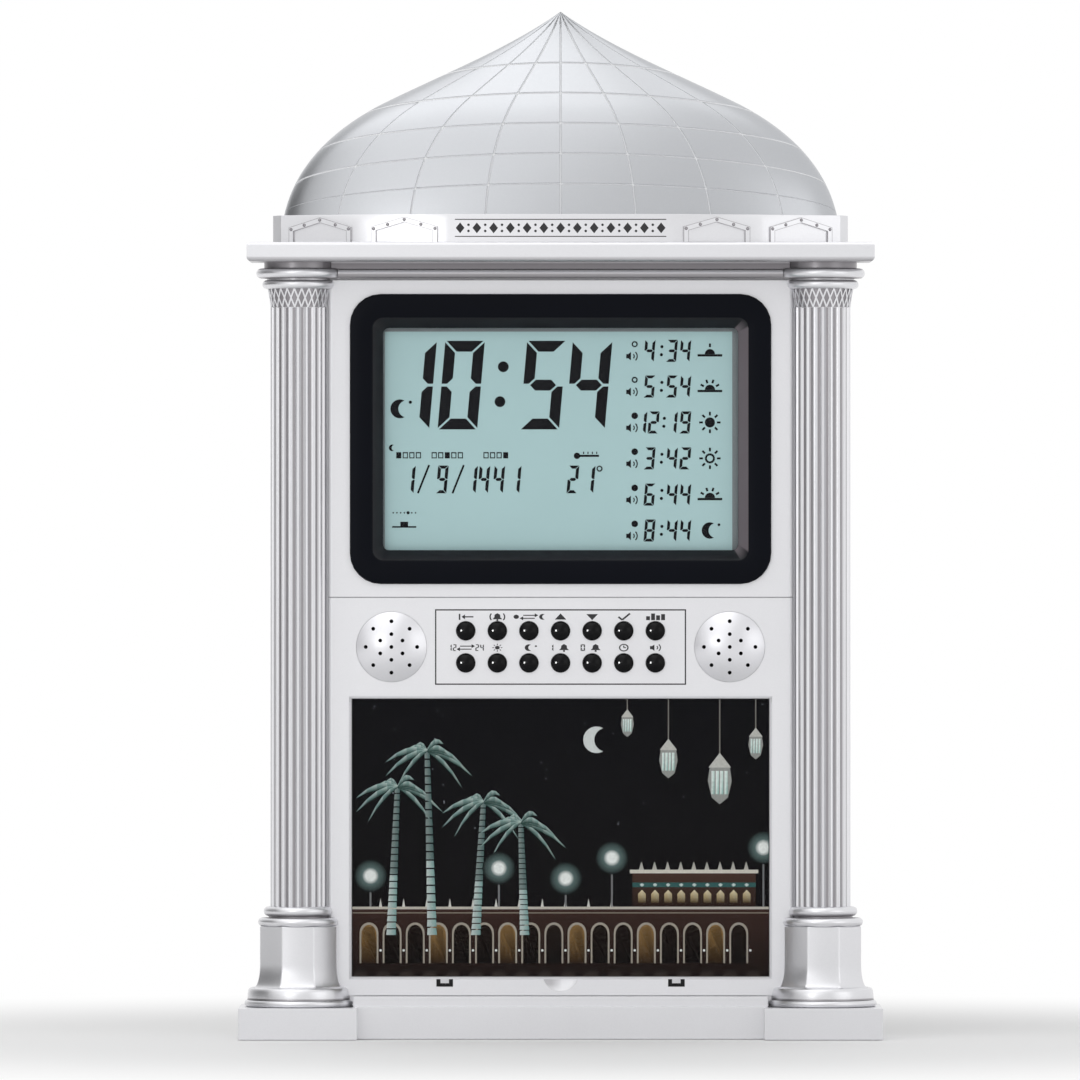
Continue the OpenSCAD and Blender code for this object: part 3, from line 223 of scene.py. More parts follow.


# Painted shade in grooves and recesses comes from the mesh's own marks, or from bands of heights where the
# look gives them
def makeSilverPaint(name, look):
    material, tree, place = newMaterial(name)
    flakes = addNode(tree, "TexVoronoi", {"Scale": 1 / (paintLook["flakeMm"] * mm)}, {"Vector": place})
    clouds = addNode(tree, "TexNoise", {"Scale": 1 / (paintLook["cloudMm"] * mm), "Detail": 3.0},
                     {"Vector": place})
    flakeValue = addNode(tree, "SeparateColor", {}, {"Color": flakes.outputs["Color"]})
    mixed = addNode(tree, "Math", {"operation": "MULTIPLY_ADD", 1: 0.2}, {0: flakeValue, 2: clouds})
    tint = addNode(tree, "Mix", {"data_type": "RGBA", 6: linear(look["colour"]), 7: linear(look["deep"])},
                   {0: mixed})
    depth = addNode(tree, "Attribute", {"attribute_name": "paintedShade"}).outputs["Fac"]
    if "bands" in look:
        low, high = look["bands"][0][0] - 0.2, look["bands"][-1][0] + 0.2
        heights = addNode(tree, "SeparateXYZ", {}, {0: place}).outputs["Z"]
        span = addNode(tree, "MapRange", {"From Min": low * mm, "From Max": high * mm}, {"Value": heights})
        depth = addNode(tree, "ValToRGB", {}, {"Fac": span})
        stops = depth.color_ramp.elements
        for z, amount in look["bands"]:
            stops.new((z - low) / (high - low)).color = (amount, amount, amount, 1)
        stops.remove(stops[0])
        stops.remove(stops[-1])
    # Painted shade: the colour of shade mixed in by that amount
    shaded = addNode(tree, "Mix", {"data_type": "RGBA", 7: linear(paintLook["paintedShade"])}, {0: depth, 6: tint})
    # Painted highlight along the dome's seams: a pale, less metallic colour
    seam = addNode(tree, "Attribute", {"attribute_name": "seam"}).outputs["Fac"]
    seamHighlighted = addNode(tree, "Mix", {"data_type": "RGBA", 7: linear(paintLook["seam"])}, {0: seam, 6: shaded})
    metal = addNode(tree, "Mix", {2: look["metallic"], 3: paintLook["seamMetallic"]}, {0: seam})
    roughness = look["roughness"]
    rough = addNode(tree, "MapRange", {"To Min": roughness - 0.02, "To Max": roughness + 0.03},
                    {"Value": flakeValue.outputs[1]})
    bump = addNode(tree, "Bump", {"Strength": 0.012, "Distance": 0.00005}, {"Height": flakeValue.outputs[2]})
    shader = addNode(tree, "BsdfPrincipled",
                     {"Coat Weight": paintLook["coat"], "Coat Roughness": paintLook["coatRoughness"]},
                     {"Base Color": seamHighlighted, "Metallic": metal, "Roughness": rough, "Normal": bump})
    addNode(tree, "OutputMaterial", {}, {"Surface": shader})
    return material


# Plain moulded or coated stock: colour that wanders a little, and a fine surface grain
def makeStock(name, colour, deep, roughness, grainMm=0.6, grain=0.05, specular=0.5, metallic=0.0):
    material, tree, place = newMaterial(name)
    fine = addNode(tree, "TexNoise", {"Scale": 1 / (grainMm * mm), "Detail": 2.0}, {"Vector": place})
    broad = addNode(tree, "TexNoise", {"Scale": 1 / (25 * mm), "Detail": 2.0}, {"Vector": place})
    tint = addNode(tree, "Mix", {"data_type": "RGBA", 6: linear(colour), 7: linear(deep)}, {0: broad})
    rough = addNode(tree, "MapRange", {"To Min": max(roughness - 0.05, 0.02), "To Max": roughness + 0.06},
                    {"Value": fine})
    bump = addNode(tree, "Bump", {"Strength": grain, "Distance": 0.0001}, {"Height": fine})
    shader = addNode(tree, "BsdfPrincipled", {"Specular IOR Level": specular, "Metallic": metallic},
                     {"Base Color": tint, "Roughness": rough, "Normal": bump})
    addNode(tree, "OutputMaterial", {}, {"Surface": shader})
    return material


# Clear sheet: mostly seen through, with a skin that still catches the lights
def makeClear(name, alpha, roughness):
    material, tree, place = newMaterial(name)
    haze = addNode(tree, "TexNoise", {"Scale": 1 / (30 * mm), "Detail": 2.0}, {"Vector": place})
    rough = addNode(tree, "MapRange", {"To Min": roughness, "To Max": roughness + 0.03}, {"Value": haze})
    shader = addNode(tree, "BsdfPrincipled", {"Base Color": linear("#0A0A0A"), "Alpha": alpha, "IOR": 1.49},
                     {"Roughness": rough})
    addNode(tree, "OutputMaterial", {}, {"Surface": shader})
    return material


# Moulded black ABS. Its mesh marks the polished slopes and the right wall, which gets a paler tone, as
# side light gives it; the face is fine satin
def makeBezelAbs():
    material = makeStock("Black ABS, fine satin", "#080B14", "#06080F", 0.34, 0.5, 0.03)
    tree = material.node_tree
    shader = tree.nodes["Principled BSDF"]
    tint = shader.inputs["Base Color"].links[0].from_socket
    polish = addNode(tree, "Attribute", {"attribute_name": "polish"}).outputs["Fac"]
    sheen = addNode(tree, "Mix", {2: 0.07, 3: 0.34}, {0: polish})
    sidelit = addNode(tree, "Attribute", {"attribute_name": "sidelit"}).outputs["Fac"]
    pale = addNode(tree, "Mix", {"data_type": "RGBA", 7: linear("#6A6368")}, {0: sidelit, 6: tint})
    tree.links.new(sheen.outputs[0], shader.inputs["Specular IOR Level"])
    tree.links.new(pale.outputs[2], shader.inputs["Base Color"])
    return material


housingPaint = makeSilverPaint("Silver paint on ABS", paintLook["housing"])
# The cornice's cove and the underside of its bead get painted shade: (height, amount of painted shade)
cornicePaint = makeSilverPaint("Silver paint on ABS, cornice", {**paintLook["housing"], "bands": [
    (290.2, 0.0), (295.1, 0.0), (295.5, 0.75), (297.3, 0.7), (297.7, 0.0), (298.7, 0.0), (299.1, 0.85),
    (301.3, 0.9), (301.9, 0.45), (303.5, 0.25), (303.8, 0.0), (311.8, 0.0)]})
domePaint = makeSilverPaint("Bright silver paint on ABS", paintLook["dome"])
panelPaint = makeSilverPaint("Satin silver paint on ABS", paintLook["panel"])
grillePaint = makeSilverPaint("Silver paint on ABS, grilles", paintLook["grille"])
bezelAbs = makeBezelAbs()
# Polished in the tool: sharp glints on a deep black
keyAbs = makeStock("Black ABS, polished", "#030304", "#020203", 0.1, 1.5, 0.01, 0.14)
# Spark-eroded tool: a coarse grain that scatters the light
rearAbs = makeStock("Dark grey ABS, spark textured", "#333336", "#29292C", 0.58, 1.1, 0.9)
# Liquid crystal is a flat near-black; a flat grey line along the window's edges, widest at the right and top,
# is painted shadow of the bezel's rim
lcdInk = makeStock("Dark liquid crystal", "#090B12", "#07080D", 0.5, 1.0, 0.0, 0.15)
lcdEdgeShadow = makeStock("Grey painted edge shadow", "#8E989B", "#878F93", 0.5, 1.0, 0.0)
# Felted and pressed: fibrous and dead matt
paper = makeStock("Pressed black paper", "#1B1B1C", "#151516", 0.85, 0.6, 0.3)
# A thin soft film of ink, a little below satin
markInk = makeStock("Black pad-printed ink", "#1B1A1D", "#242226", 0.55, 0.4, 0.02)

# Each material, and the CAD's nodes made of it
stock = [
    (housingPaint, "base_plinth drum front_frame left_column right_column"),
    (cornicePaint, "cornice"),
    (domePaint, "dome"),
    (panelPaint, "upper_panel lower_panel"),
    (grillePaint, "left_grille right_grille"),
    (bezelAbs, "display_bezel"),
    (makeClear("Cast acrylic", 0.05, 0.03), "display_lens"),
    (makeClear("Clear styrene", 0.045, 0.04), "picture_cover"),
    # Dyed film under a fine anti-glare skin: pale blue-green, softly lit
    (makeStock("Polarising film on glass", "#C2E4E6", "#BEE0E2", 0.4, 2.0, 0.01, 0.3), "lcd_glass"),
    # Filled with white powder: no gloss at all
    (makeStock("White diffusing sheet", "#ECEDEC", "#E4E5E4", 0.7), "lcd_diffuser"),
    # Unpigmented: a warm, waxy white
    (makeStock("Natural white ABS", "#E2E1DB", "#D8D7D1", 0.5), "lcd_holder"),
    # Fine black and clear layers, cut: matt dark grey
    (makeStock("Carbon-layered rubber", "#2A2A2E", "#222226", 0.7), "zebra_strips"),
    # Green lacquer over a weave: glossy, slightly wavy
    (makeStock("Solder mask on glass epoxy", "#0E4A2A", "#0B3F24", 0.32, 1.2, 0.1), "main_board key_board"),
    # Transfer moulded: even satin black
    (makeStock("Moulded black epoxy", "#111112", "#0D0D0E", 0.5), "board_components"),
    # Soft and slightly dusty
    (makeStock("Grey silicone rubber", "#A5A7A8", "#9C9E9F", 0.6), "keypad_sheet"),
    # Coated: dark with a thin sheen
    (makeStock("Coated card", "#060508", "#040406", 0.4, 0.8, 0.02), "picture_card"),
    (rearAbs, "rear_cover battery_lid"),
    # Pressed and plated: bright with soft reflections
    (makeStock("Plated steel, pressed", "#9A9CA0", "#8E9094", 0.3, 0.8, 0.05, metallic=1.0),
     "left_speaker_frame right_speaker_frame"),
    (paper, "left_speaker_cone right_speaker_cone"),
    # Pressed powder, fired: dull and faintly grainy
    (makeStock("Sintered ferrite", "#2B2B2D", "#222224", 0.55, 0.8, 0.2),
     "left_speaker_magnet right_speaker_magnet"),
    # Shrunk tight over the can: smooth gloss
    (makeStock("Printed shrink sleeve", "#B5762A", "#A86B22", 0.3, 1.0, 0.02), "lower_cell upper_cell"),
    # Rolled and nickel plated: a warm mirror, slightly soft
    (makeStock("Nickel-plated spring steel", "#D2D1CB", "#C6C5BF", 0.22, 0.8, 0.03, metallic=1.0),
     "left_contacts right_contacts"),
    # Extruded: even and satin
    (makeStock("Grey flat vinyl", "#8E9193", "#84878A", 0.5), "ribbon_cable"),
    # Oxidised: dark, with a weak metal sheen
    (makeStock("Blackened steel", "#2A2A2A", "#222222", 0.38, 0.8, 0.05, metallic=1.0), "rear_screws"),
    # Plated and passivated: a cool, light metal
    (makeStock("Zinc-plated steel", "#C6C8CC", "#B8BABE", 0.28, 0.8, 0.04, metallic=1.0), "board_screws"),
]
print("materials made:", len(bpy.data.materials))
nodeMaterials = {nodeName: material for material, nodeNames in stock for nodeName in nodeNames.split()}
for nodeName, node in frame["nodes"].items():
    node.data.materials.clear()
    node.data.materials.append(nodeMaterials.get(nodeName, keyAbs))


# Breaks the sharp edges of a moulding, as its tool does
def softenEdges(nodeName, widthMm):
    modifiers = frame["nodes"][nodeName].modifiers
    modifiers.new("weld", "WELD").merge_threshold = 1e-6
    flat = modifiers.new("flat", "DECIMATE")
    flat.decimate_type = "DISSOLVE"
    flat.angle_limit = math.radians(0.5)
    edge = modifiers.new("edge", "BEVEL")
    edge.width = widthMm * mm
    edge.segments = 2
    edge.limit_method = "ANGLE"
    edge.angle_limit = math.radians(40)
    edge.use_clamp_overlap = True
    modifiers.new("normals", "WEIGHTED_NORMAL").keep_sharp = False


for nodeName, widthMm in {"base_plinth": 0.6, "upper_panel": 0.5, "lower_panel": 0.35, "drum": 0.25,
                          "front_frame": 0.5, "rear_cover": 0.5, "battery_lid": 0.35}.items():
    softenEdges(nodeName, widthMm)
print("mouldings softened")

# Columns; profiles are for latheRings, the foot's heights are above the base
columnLook = {
    "x": 102, "y": -2.5, "backY": 8, "base": 12.2, "steps": 72,
    "foot": [(0, 0), (19.8, 0), (19.75, 1.35, 1.35, -90, 90, 8), (20.0, 2.8), (19.9, 3.2)],
    "cushionR": 19.0, "cushionSwell": 0.9, "cushionHeight": 3.6, "cushionTurns": (0, 0.4, 0.8, 1.2, 1.5),
    "footTop": [(18.4, 7.55), (0, 7.55)],
    "rolls": [(0, 43.5), (14.1, 43.5), (14.15, 45.15, 1.65, -90, 90, 8), (11.7, 46.8), (11.7, 47.4),
              (11.7, 49.3, 1.9, -90, 90, 8), (0, 51.2)],
    "collar": [(0, 291.5), (12.3, 291.5), (12.35, 293.25, 1.75, -90, 90, 8), (12.35, 295.6),
               (14.55, 297.55, 1.95, -90, 90, 8), (13.4, 299.6), (13.4, 301.9), (0, 301.9)],
    "pedestalLow": 7.5, "pedestalTop": 43.6, "flat": 14.9, "flare": 2.5, "flareHeight": 9.15,
    "topEase": 0.3, "cornerEase": 0.12, "easeTurn": 0.026,
    "shaftR": 10.9, "shaftLow": 51.1, "shaftTop": 284.4, "flutes": 20, "fluteR": 1.3, "fluteShallow": 0.3,
    "core": [(0, 284.2), (10.5, 284.2), (10.5, 284.45), (11.6, 291.55), (11.6, 291.6), (0, 291.6)],
    "latticePeriods": 26, "latticeLine": 0.85, "latticeLow": 284.4, "latticeHeight": 7.1,
    "neckR": 10.5, "neckSpread": 1.1, "shadeAmount": 0.8,
    # Bands of heights in the rolls' valleys that get painted shade: (low, high, amount)
    "valleys": [(14.8, 15.5, 0.7), (46.7, 47.5, 0.8), (295.2, 295.8, 0.85), (299.3, 302, 0.8)],
}


def buildColumn(side, name, node):
    look = columnLook
    base, flat, shaftR = look["base"], look["flat"], look["shaftR"]
    latticeLow, latticeHeight = look["latticeLow"], look["latticeHeight"]

    def place(x, y, z):
        return inMetres(side * look["x"] + x, look["y"] + y, z)

    # Eight sides, each corner eased between two points on the sides next to it
    def octagon(wide, height):
        half, ease = math.radians(22.5), look["easeTurn"]
        corner, beside = wide / math.cos(half) - look["cornerEase"], wide / math.cos(half - ease)
        points = []
        for k in range(8):
            for turn, reach in ((-ease, beside), (0, corner), (ease, beside)):
                a = half * (1 + 2 * k) + turn
                points.append(place(reach * math.cos(a), reach * math.sin(a), height))
        return points

    def fluted(height):
        points = []
        flutes, fluteR = look["flutes"], look["fluteR"]
        for k in range(flutes * 10):
            across = abs((k % 10 / 10 - 0.5) * 2 * math.pi / flutes * shaftR)
            dip = math.sqrt(fluteR ** 2 - across ** 2) - look["fluteShallow"] if across < fluteR - 0.04 else 0
            points.append(place(*polar(shaftR - max(dip, 0), 36 * k / flutes), height))
        return points

    bm = bmesh.new()
    foot = look["foot"] + [(look["cushionR"] + look["cushionSwell"] * math.cos(a),
                            look["cushionHeight"] * (1 + math.sin(a))) for a in look["cushionTurns"]]
    loft(bm, latheRings(foot + look["footTop"], look["steps"], lambda x, y, h: place(x, y, base + h)))
    for part in ("rolls", "collar"):
        loft(bm, latheRings(look[part], look["steps"], place))
    low, top = base + look["pedestalLow"], look["pedestalTop"]
    rows = [[place(0, 0, low)]]
    for k in range(10):
        a = math.radians(90 * k / 9)
        height = low + look["flareHeight"] * (1 - math.cos(a))
        rows.append(octagon(flat + look["flare"] * (1 - math.sin(a)), height))
    rows += [octagon(flat, top - look["topEase"]), octagon(flat - look["topEase"], top), [place(0, 0, top)]]
    loft(bm, rows)
    ends = look["shaftLow"], look["shaftTop"]
    loft(bm, [[place(0, 0, ends[0])], fluted(ends[0]), fluted(ends[1]), [place(0, 0, ends[1])]])
    # Capital: plain core with a raised lattice of slanting strips
    loft(bm, latheRings(look["core"], look["steps"], place))
    for k in range(look["latticePeriods"]):
        for lean in (-1, 1):
            strip = []
            for step in range(7):
                t = step / 6
                a = 360 * (k + lean * t) / look["latticePeriods"]
                r = look["neckR"] + look["neckSpread"] * t
                wide = math.degrees(look["latticeLine"] / 2 / r)
                strip.append([place(*polar(r + out, a + turn * wide), latticeLow + latticeHeight * t)
                              for out, turn in ((-0.2, -1), (0.35, -0.75), (0.35, 0.75), (-0.2, 1))])
            loft(bm, [[strip[0][0]]] + strip)
    # The parting plane bounds the column behind
    cut = bmesh.ops.bisect_plane(bm, geom=bm.verts[:] + bm.edges[:] + bm.faces[:], dist=1e-6,
                                 plane_co=(0, look["backY"] * mm, 0), plane_no=(0, 1, 0), clear_outer=True)
    edges = [g for g in cut["geom_cut"] if isinstance(g, bmesh.types.BMEdge)]
    bmesh.ops.holes_fill(bm, edges=edges, sides=0)
    # Painted shade in the flutes, between the lattice's strips and in the valleys of the rolls
    shadeLayer = bm.verts.layers.float.new("paintedShade")
    for vert in bm.verts:
        z = vert.co.z / mm
        r = math.hypot(vert.co.x / mm - side * look["x"], vert.co.y / mm - look["y"])
        if 51.05 < z < 284.1 or (r > 9.8 and 284.35 < z < 284.42):
            vert[shadeLayer] = look["shadeAmount"] * min(max((shaftR - r - 0.6) / 0.38, 0), 1)
        elif latticeLow < z < look["core"][-1][1]:
            core = look["neckR"] + look["neckSpread"] * (z - latticeLow) / latticeHeight
            vert[shadeLayer] = look["shadeAmount"] if r < core + 0.05 else 0.0
        else:
            vert[shadeLayer] = max([fill for low, high, fill in look["valleys"] if low < z < high], default=0.0)
    piece = finishPiece(bm, name, housingPaint, sharpAngle=28, weld=False)
    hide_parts(node)


buildColumn(-1, "leftColumnTurned", "left_column")
buildColumn(1, "rightColumnTurned", "right_column")
print("columns built")

# Dome: ogee shell in panels, its seams sunk into it. Two Bezier curves give its half width by height
domeLook = {
    "width": 215.8, "height": 79.7, "reach": 26.5, "partY": 8, "z": 320.3, "wall": 2,
    "seamWidth": 0.9, "seamDepth": 0.5, "rows": 6, "seams": [-0.8, -0.54, -0.27, 0, 0.27, 0.54, 0.8],
    "shoulder": [(1, 0), (0.968, 0.2), (0.867, 0.39), (0.652, 0.543)],
    "sweep": [(0.652, 0.543), (0.436, 0.689), (0.185, 0.82), (0, 1)],
    "curveSteps": 600, "droop": 0.125,
}


def ogee(u):
    p, t = (domeLook["shoulder"], 2 * u) if u < 0.5 else (domeLook["sweep"], 2 * u - 1)
    weights = ((1 - t) ** 3, 3 * t * (1 - t) ** 2, 3 * t * t * (1 - t), t ** 3)
    return [sum(w * q[k] for w, q in zip(weights, p)) for k in (0, 1)]


ogeeTable = [ogee(k / domeLook["curveSteps"]) for k in range(domeLook["curveSteps"] + 1)]


def ogeeWidth(h):
    low, high = 0, domeLook["curveSteps"]
    while high - low > 1:
        middle = (low + high) // 2
        low, high = (middle, high) if ogeeTable[middle][1] < h else (low, middle)
    a, b = ogeeTable[low], ogeeTable[high]
    return a[0] + (b[0] - a[0]) * (h - a[1]) / max(b[1] - a[1], 1e-9)


# Lines of the dome's grid as (place, share of the seam's half width to the side, share of its depth)
def seamLines(marks, step):
    seam = ((-1, 0), (-0.5, 0.8), (0, 1), (0.5, 0.8), (1, 0))
    lines = [(marks[0], 0, 0)]
    for mark, after in zip(marks, marks[1:]):
        count = math.ceil((after - mark) / step)
        lines += [(mark + (after - mark) * i / count, 0, 0) for i in range(1, count)]
        lines += [(after, aside, depth) for aside, depth in (seam if after != marks[-1] else ((0, 0),))]
    return lines


def domePoint(up, around):
    look = domeLook
    half = look["width"] / 2
    h = min(max(up[0] + up[1] * 0.4 * look["seamWidth"] / look["height"], 0), 0.9999)
    w = ogeeWidth(h)
    t = math.radians(around[0] + around[1] * min(5, math.degrees(look["seamWidth"] / 2 / (w * half + 0.01))))
    # The rows droop towards the front
    hang = min(look["droop"] * w * half / look["height"], 0.92 * h) * (1 - math.cos(t))
    v = ogeeWidth(h - hang)
    sunk = look["seamDepth"] * max(up[2], around[2])
    drop = 0 if up[0] == 0 else 0.3 * sunk * math.cos(t)
    return inMetres(v * half * math.sin(t) - 0.4 * sunk * math.sin(t),
                    look["partY"] - (v * look["reach"] - sunk) * math.cos(t),
                    look["z"] + (h - hang) * look["height"] - drop)


# Joins two open runs of vertices that lie side by side, of different counts
def bridge(bm, first, second):
    i, j = 0, 0
    while i < len(first) - 1 or j < len(second) - 1:
        stepFirst = (first[min(i + 1, len(first) - 1)].co - second[j].co).length
        stepSecond = (second[min(j + 1, len(second) - 1)].co - first[i].co).length
        if j == len(second) - 1 or (i < len(first) - 1 and stepFirst <= stepSecond):
            bm.faces.new((first[i], first[i + 1], second[j]))
            i += 1
        else:
            bm.faces.new((first[i], second[j + 1], second[j]))
            j += 1


def buildDome():
    look = domeLook
    heights = [k / (look["rows"] + 0.7) for k in range(1, look["rows"])]
    ups = [line for line in seamLines([0] + heights + [1], 0.016) if line[0] < 1]
    rounds = seamLines([-90] + [math.degrees(math.asin(s)) for s in look["seams"]] + [90], 2)
    bm = bmesh.new()
    outer = [[domePoint(up, r) for r in rounds] for up in ups]
    tip = inMetres(0, look["partY"], look["z"] + look["height"])
    floorPoint = inMetres(0, look["partY"], look["z"])
    thin = Vector([1 - look["wall"] / size for size in (look["width"] / 2, look["reach"], look["height"])])

    def within(point):
        return floorPoint + (point - floorPoint) * thin

    # The inside has no seams
    plain = [[(line[0], 0, 0) for line in lines if line[1] == 0] for lines in (ups, rounds)]
    inner = [[within(domePoint(up, r)) for r in plain[1]] for up in plain[0]]
    rows = []
    seams = bm.verts.layers.float.new("seam")
    for grid, top in ((outer, tip), (inner, within(tip))):
        rows.append(vertexRows(bm, grid + [[top]]))
        if grid is outer:
            for up, row in zip(ups, rows[-1]):
                # The seams' floors are marked for the painted highlight
                for r, vert in zip(rounds, row):
                    vert[seams] = 1.0 if max(up[2], r[2]) > 0.7 else 0.0
        skinRows(bm, rows[-1], closed=False)
    # Rims along the bottom and the two back edges
    bridge(bm, rows[0][0], rows[1][0])
    for end in (0, -1):
        bridge(bm, *[[row[end] for row in grid] for grid in rows])
    piece = finishPiece(bm, "domeShell", domePaint, sharpAngle=40, weld=False)
    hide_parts("dome")


buildDome()
print("dome built")

# Drum: gable bands and their studs, a printed frieze on the centre face
drumLook = {
    "z": 309.4, "partY": 8, "corners": [(43.4, 28.5), (77.7, 21), (109.1, 7.5)],
    "low": 1.05, "half": 13.25, "eaves": 5.05, "ridge": 8.85, "band": 2.0, "relief": 0.78, "bury": -0.3,
    "studR": 0.66, "studRise": 0.4, "studSteps": 14, "studShade": 1.0, "studTopShade": 0.7,
}


def buildGables():
    look = drumLook
    half, eaves, ridge, band = look["half"], look["eaves"], look["ridge"], look["band"]
    relief, bury, r, rise = look["relief"], look["bury"], look["studR"], look["studRise"]
    pitch = (ridge - eaves) / half
    inner = ridge - band * math.hypot(1, pitch)
    spring = inner - pitch * (half - band)
    outline = [(-half, -look["low"]), (-half, eaves), (0, ridge), (half, eaves), (half, -look["low"])]
    inside = [(band - half, -look["low"]), (band - half, spring), (0, inner), (half - band, spring),
              (half - band, -look["low"])]
    ridgeMid = (ridge + inner) / 2
    end = half - band / 2
    studs = [(x, ridgeMid - pitch * abs(x)) for x in (-end, -half / 2, 0, half / 2, end)]
    crown = [(r * math.cos(a), rise * math.sin(a)) for a in (0.5, 1.0)]
    stud = [(0, bury), (r, bury), (r, 0), *crown, (0, rise)]
    # Across the band: painted shade on its rims, none on its face
    across = ((0, bury, 0.35), (0, relief, 0.85), (0.14, relief, 0), (0.86, relief, 0), (1, relief, 0.85),
              (1, bury, 0.35))
    bm = bmesh.new()
    shadeLayer = bm.verts.layers.float.new("paintedShade")
    for side in (-1, 1):
        for a, b in zip(look["corners"], look["corners"][1:]):
            turn = math.atan2(a[1] - b[1], b[0] - a[0])
            middle = ((a[0] + b[0]) / 2, look["partY"] - (a[1] + b[1]) / 2)

            def place(x, z, out):
                return inMetres(side * (middle[0] + x * math.cos(turn) + out * math.sin(turn)),
                                middle[1] + x * math.sin(turn) - out * math.cos(turn),
                                look["z"] + look["low"] + z)

            rings = [[place(ax + (bx - ax) * t, az + (bz - az) * t, out) for t, out, _ in across]
                     for (ax, az), (bx, bz) in zip(outline, inside)]
            first = len(bm.verts)
            ends = [[sum(ring, Vector()) / len(across)] for ring in (rings[0], rings[-1])]
            loft(bm, [ends[0]] + rings + [ends[1]])
            bm.verts.ensure_lookup_table()
            for k, vert in enumerate(bm.verts[first + 1:-1]):
                vert[shadeLayer] = across[k % len(across)][2]
            # Each stud is painted dark as shade: darkest round its foot, a little less on its top
            for x, z in studs:
                first = len(bm.verts)
                loft(bm, latheRings(stud, look["studSteps"],
                                    lambda px, pz, h: place(x + px, z + pz, relief + h)))
                bm.verts.ensure_lookup_table()
                for k, vert in enumerate(bm.verts[first:]):
                    vert[shadeLayer] = look["studShade"] if k <= 3 * look["studSteps"] else look["studTopShade"]
    finishPiece(bm, "drumGables", housingPaint, sharpAngle=30)


buildGables()
friezeLook = {"y": -20.5, "z": 314.9, "half": 39, "pitch": 6.5, "wide": 1.7, "tall": 2.1,
              "dotR": 0.5, "dotZ": 1.2, "lineZ": 3.3, "line": 0.35, "overrun": 2}


def buildFrieze():
    look = friezeLook
    middle, wide, tall, pitch = look["z"], look["wide"], look["tall"], look["pitch"]
    shapes = []
    count = int(2 * look["half"] / pitch)
    for k in range(count + 1):
        x = (k - count / 2) * pitch
        shapes.append([(x - wide, middle), (x, middle - tall), (x + wide, middle), (x, middle + tall)])
        if k < count:
            shapes += [disc(x + pitch / 2, middle + s * look["dotZ"], look["dotR"], 14) for s in (-1, 1)]
    end = look["half"] + look["overrun"]
    for z in (middle - look["lineZ"], middle + look["lineZ"]):
        shapes += stroke([(-end, z), (end, z)], look["line"])
    printShapes("drumFrieze", shapes, look["y"], markInk)


buildFrieze()
print("drum dressed")

# Display bezel: one frame with eased edges, sloping down to the window
bezelLook = {"z": 233.1, "width": 164, "height": 112.9, "corner": 12, "front": -7, "back": -5.5,
             "windowWidth": 138.2, "windowHeight": 86.5, "windowCorner": 2.3, "bevel": 4.1, "lip": -3.1,
             "deep": -2.5, "rebate": -0.85, "sidelitX": 68, "sidelitHalf": 43.5}


def buildBezel():
    look = bezelLook
    z, front, back, lip, deep, rebate = [look[key] for key in ("z", "front", "back", "lip", "deep", "rebate")]
    slope = 2 * look["bevel"]
    # How much each ring is wider than the frame or the window, its corner's growth and its depth
    around = [(0, 0, back), (0, 0, front + 0.9), (-0.25, -0.12, front + 0.45), (-0.8, -0.4, front + 0.12),
              (-1.6, -0.8, front)]
    window = [(slope + 0.8, 2.2, front), (slope + 0.1, 1.9, front + 0.12), (slope - 0.6, 1.6, front + 0.5),
              (0.3, 0.1, lip - 0.15), (0, 0, lip + 0.1), (0, 0, deep), (4.9, 0, deep), (4.9, 0, rebate),
              (8.9, 2, rebate), (8.9, 2, back)]
    rings = [roundRect(look["width"] + wider, look["height"] + wider, look["corner"] + rounder, z, y)
             for wider, rounder, y in around]
    rings += [roundRect(look["windowWidth"] + wider, look["windowHeight"] + wider,
                        look["windowCorner"] + rounder, z, y) for wider, rounder, y in window]
    bm = bmesh.new()
    polished = bm.verts.layers.float.new("polish")
    sidelit = bm.verts.layers.float.new("sidelit")
    loft(bm, rings + [rings[0]])
    bm.verts.ensure_lookup_table()
    # The slope lies between the rings 7 and 8
    for vert in bm.verts[7 * len(rings[0]):9 * len(rings[0])]:
        onRight = vert.co.x / mm > look["sidelitX"] and abs(vert.co.z / mm - z) < look["sidelitHalf"]
        vert[polished] = 1.0
        vert[sidelit] = 1.0 if onRight else 0.0
    piece = finishPiece(bm, "displayBezelFrame", bezelAbs, sharpAngle=30)
    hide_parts("display_bezel")


buildBezel()

# What the display shows: numbers and plain signs
segmentsOf = {"0": "abcdef", "1": "bc", "2": "abged", "3": "abgcd", "4": "fgbc", "5": "afgcd",
              "6": "afgedc", "7": "abc", "8": "abcdefg", "9": "abcdfg"}


def digitShapes(char, left, low, width, height, thick, slant=5.0):
    w, h, t, g = width, height, thick, thick * 0.13
    m = h / 2
    parts = {
        "a": [(g, h), (w - g, h), (w - t - g, h - t), (t + g, h - t)],
        "f": [(0, h - g), (0, m + g), (t / 2, m + g), (t, m + t / 2 + g), (t, h - t - g)],
        "g": [(t / 2 + g, m), (t + g, m + t / 2), (w - t - g, m + t / 2), (w - t / 2 - g, m),
              (w - t - g, m - t / 2), (t + g, m - t / 2)],
    }
    for part, source in (("d", "a"), ("e", "f")):
        parts[part] = [(x, h - z) for x, z in parts[source]]
    for part, source in (("b", "f"), ("c", "e")):
        parts[part] = [(w - x, z) for x, z in parts[source]]
    lean = math.tan(math.radians(slant))
    return [[(left + x + z * lean, low + z) for x, z in parts[s]] for s in segmentsOf[char]]


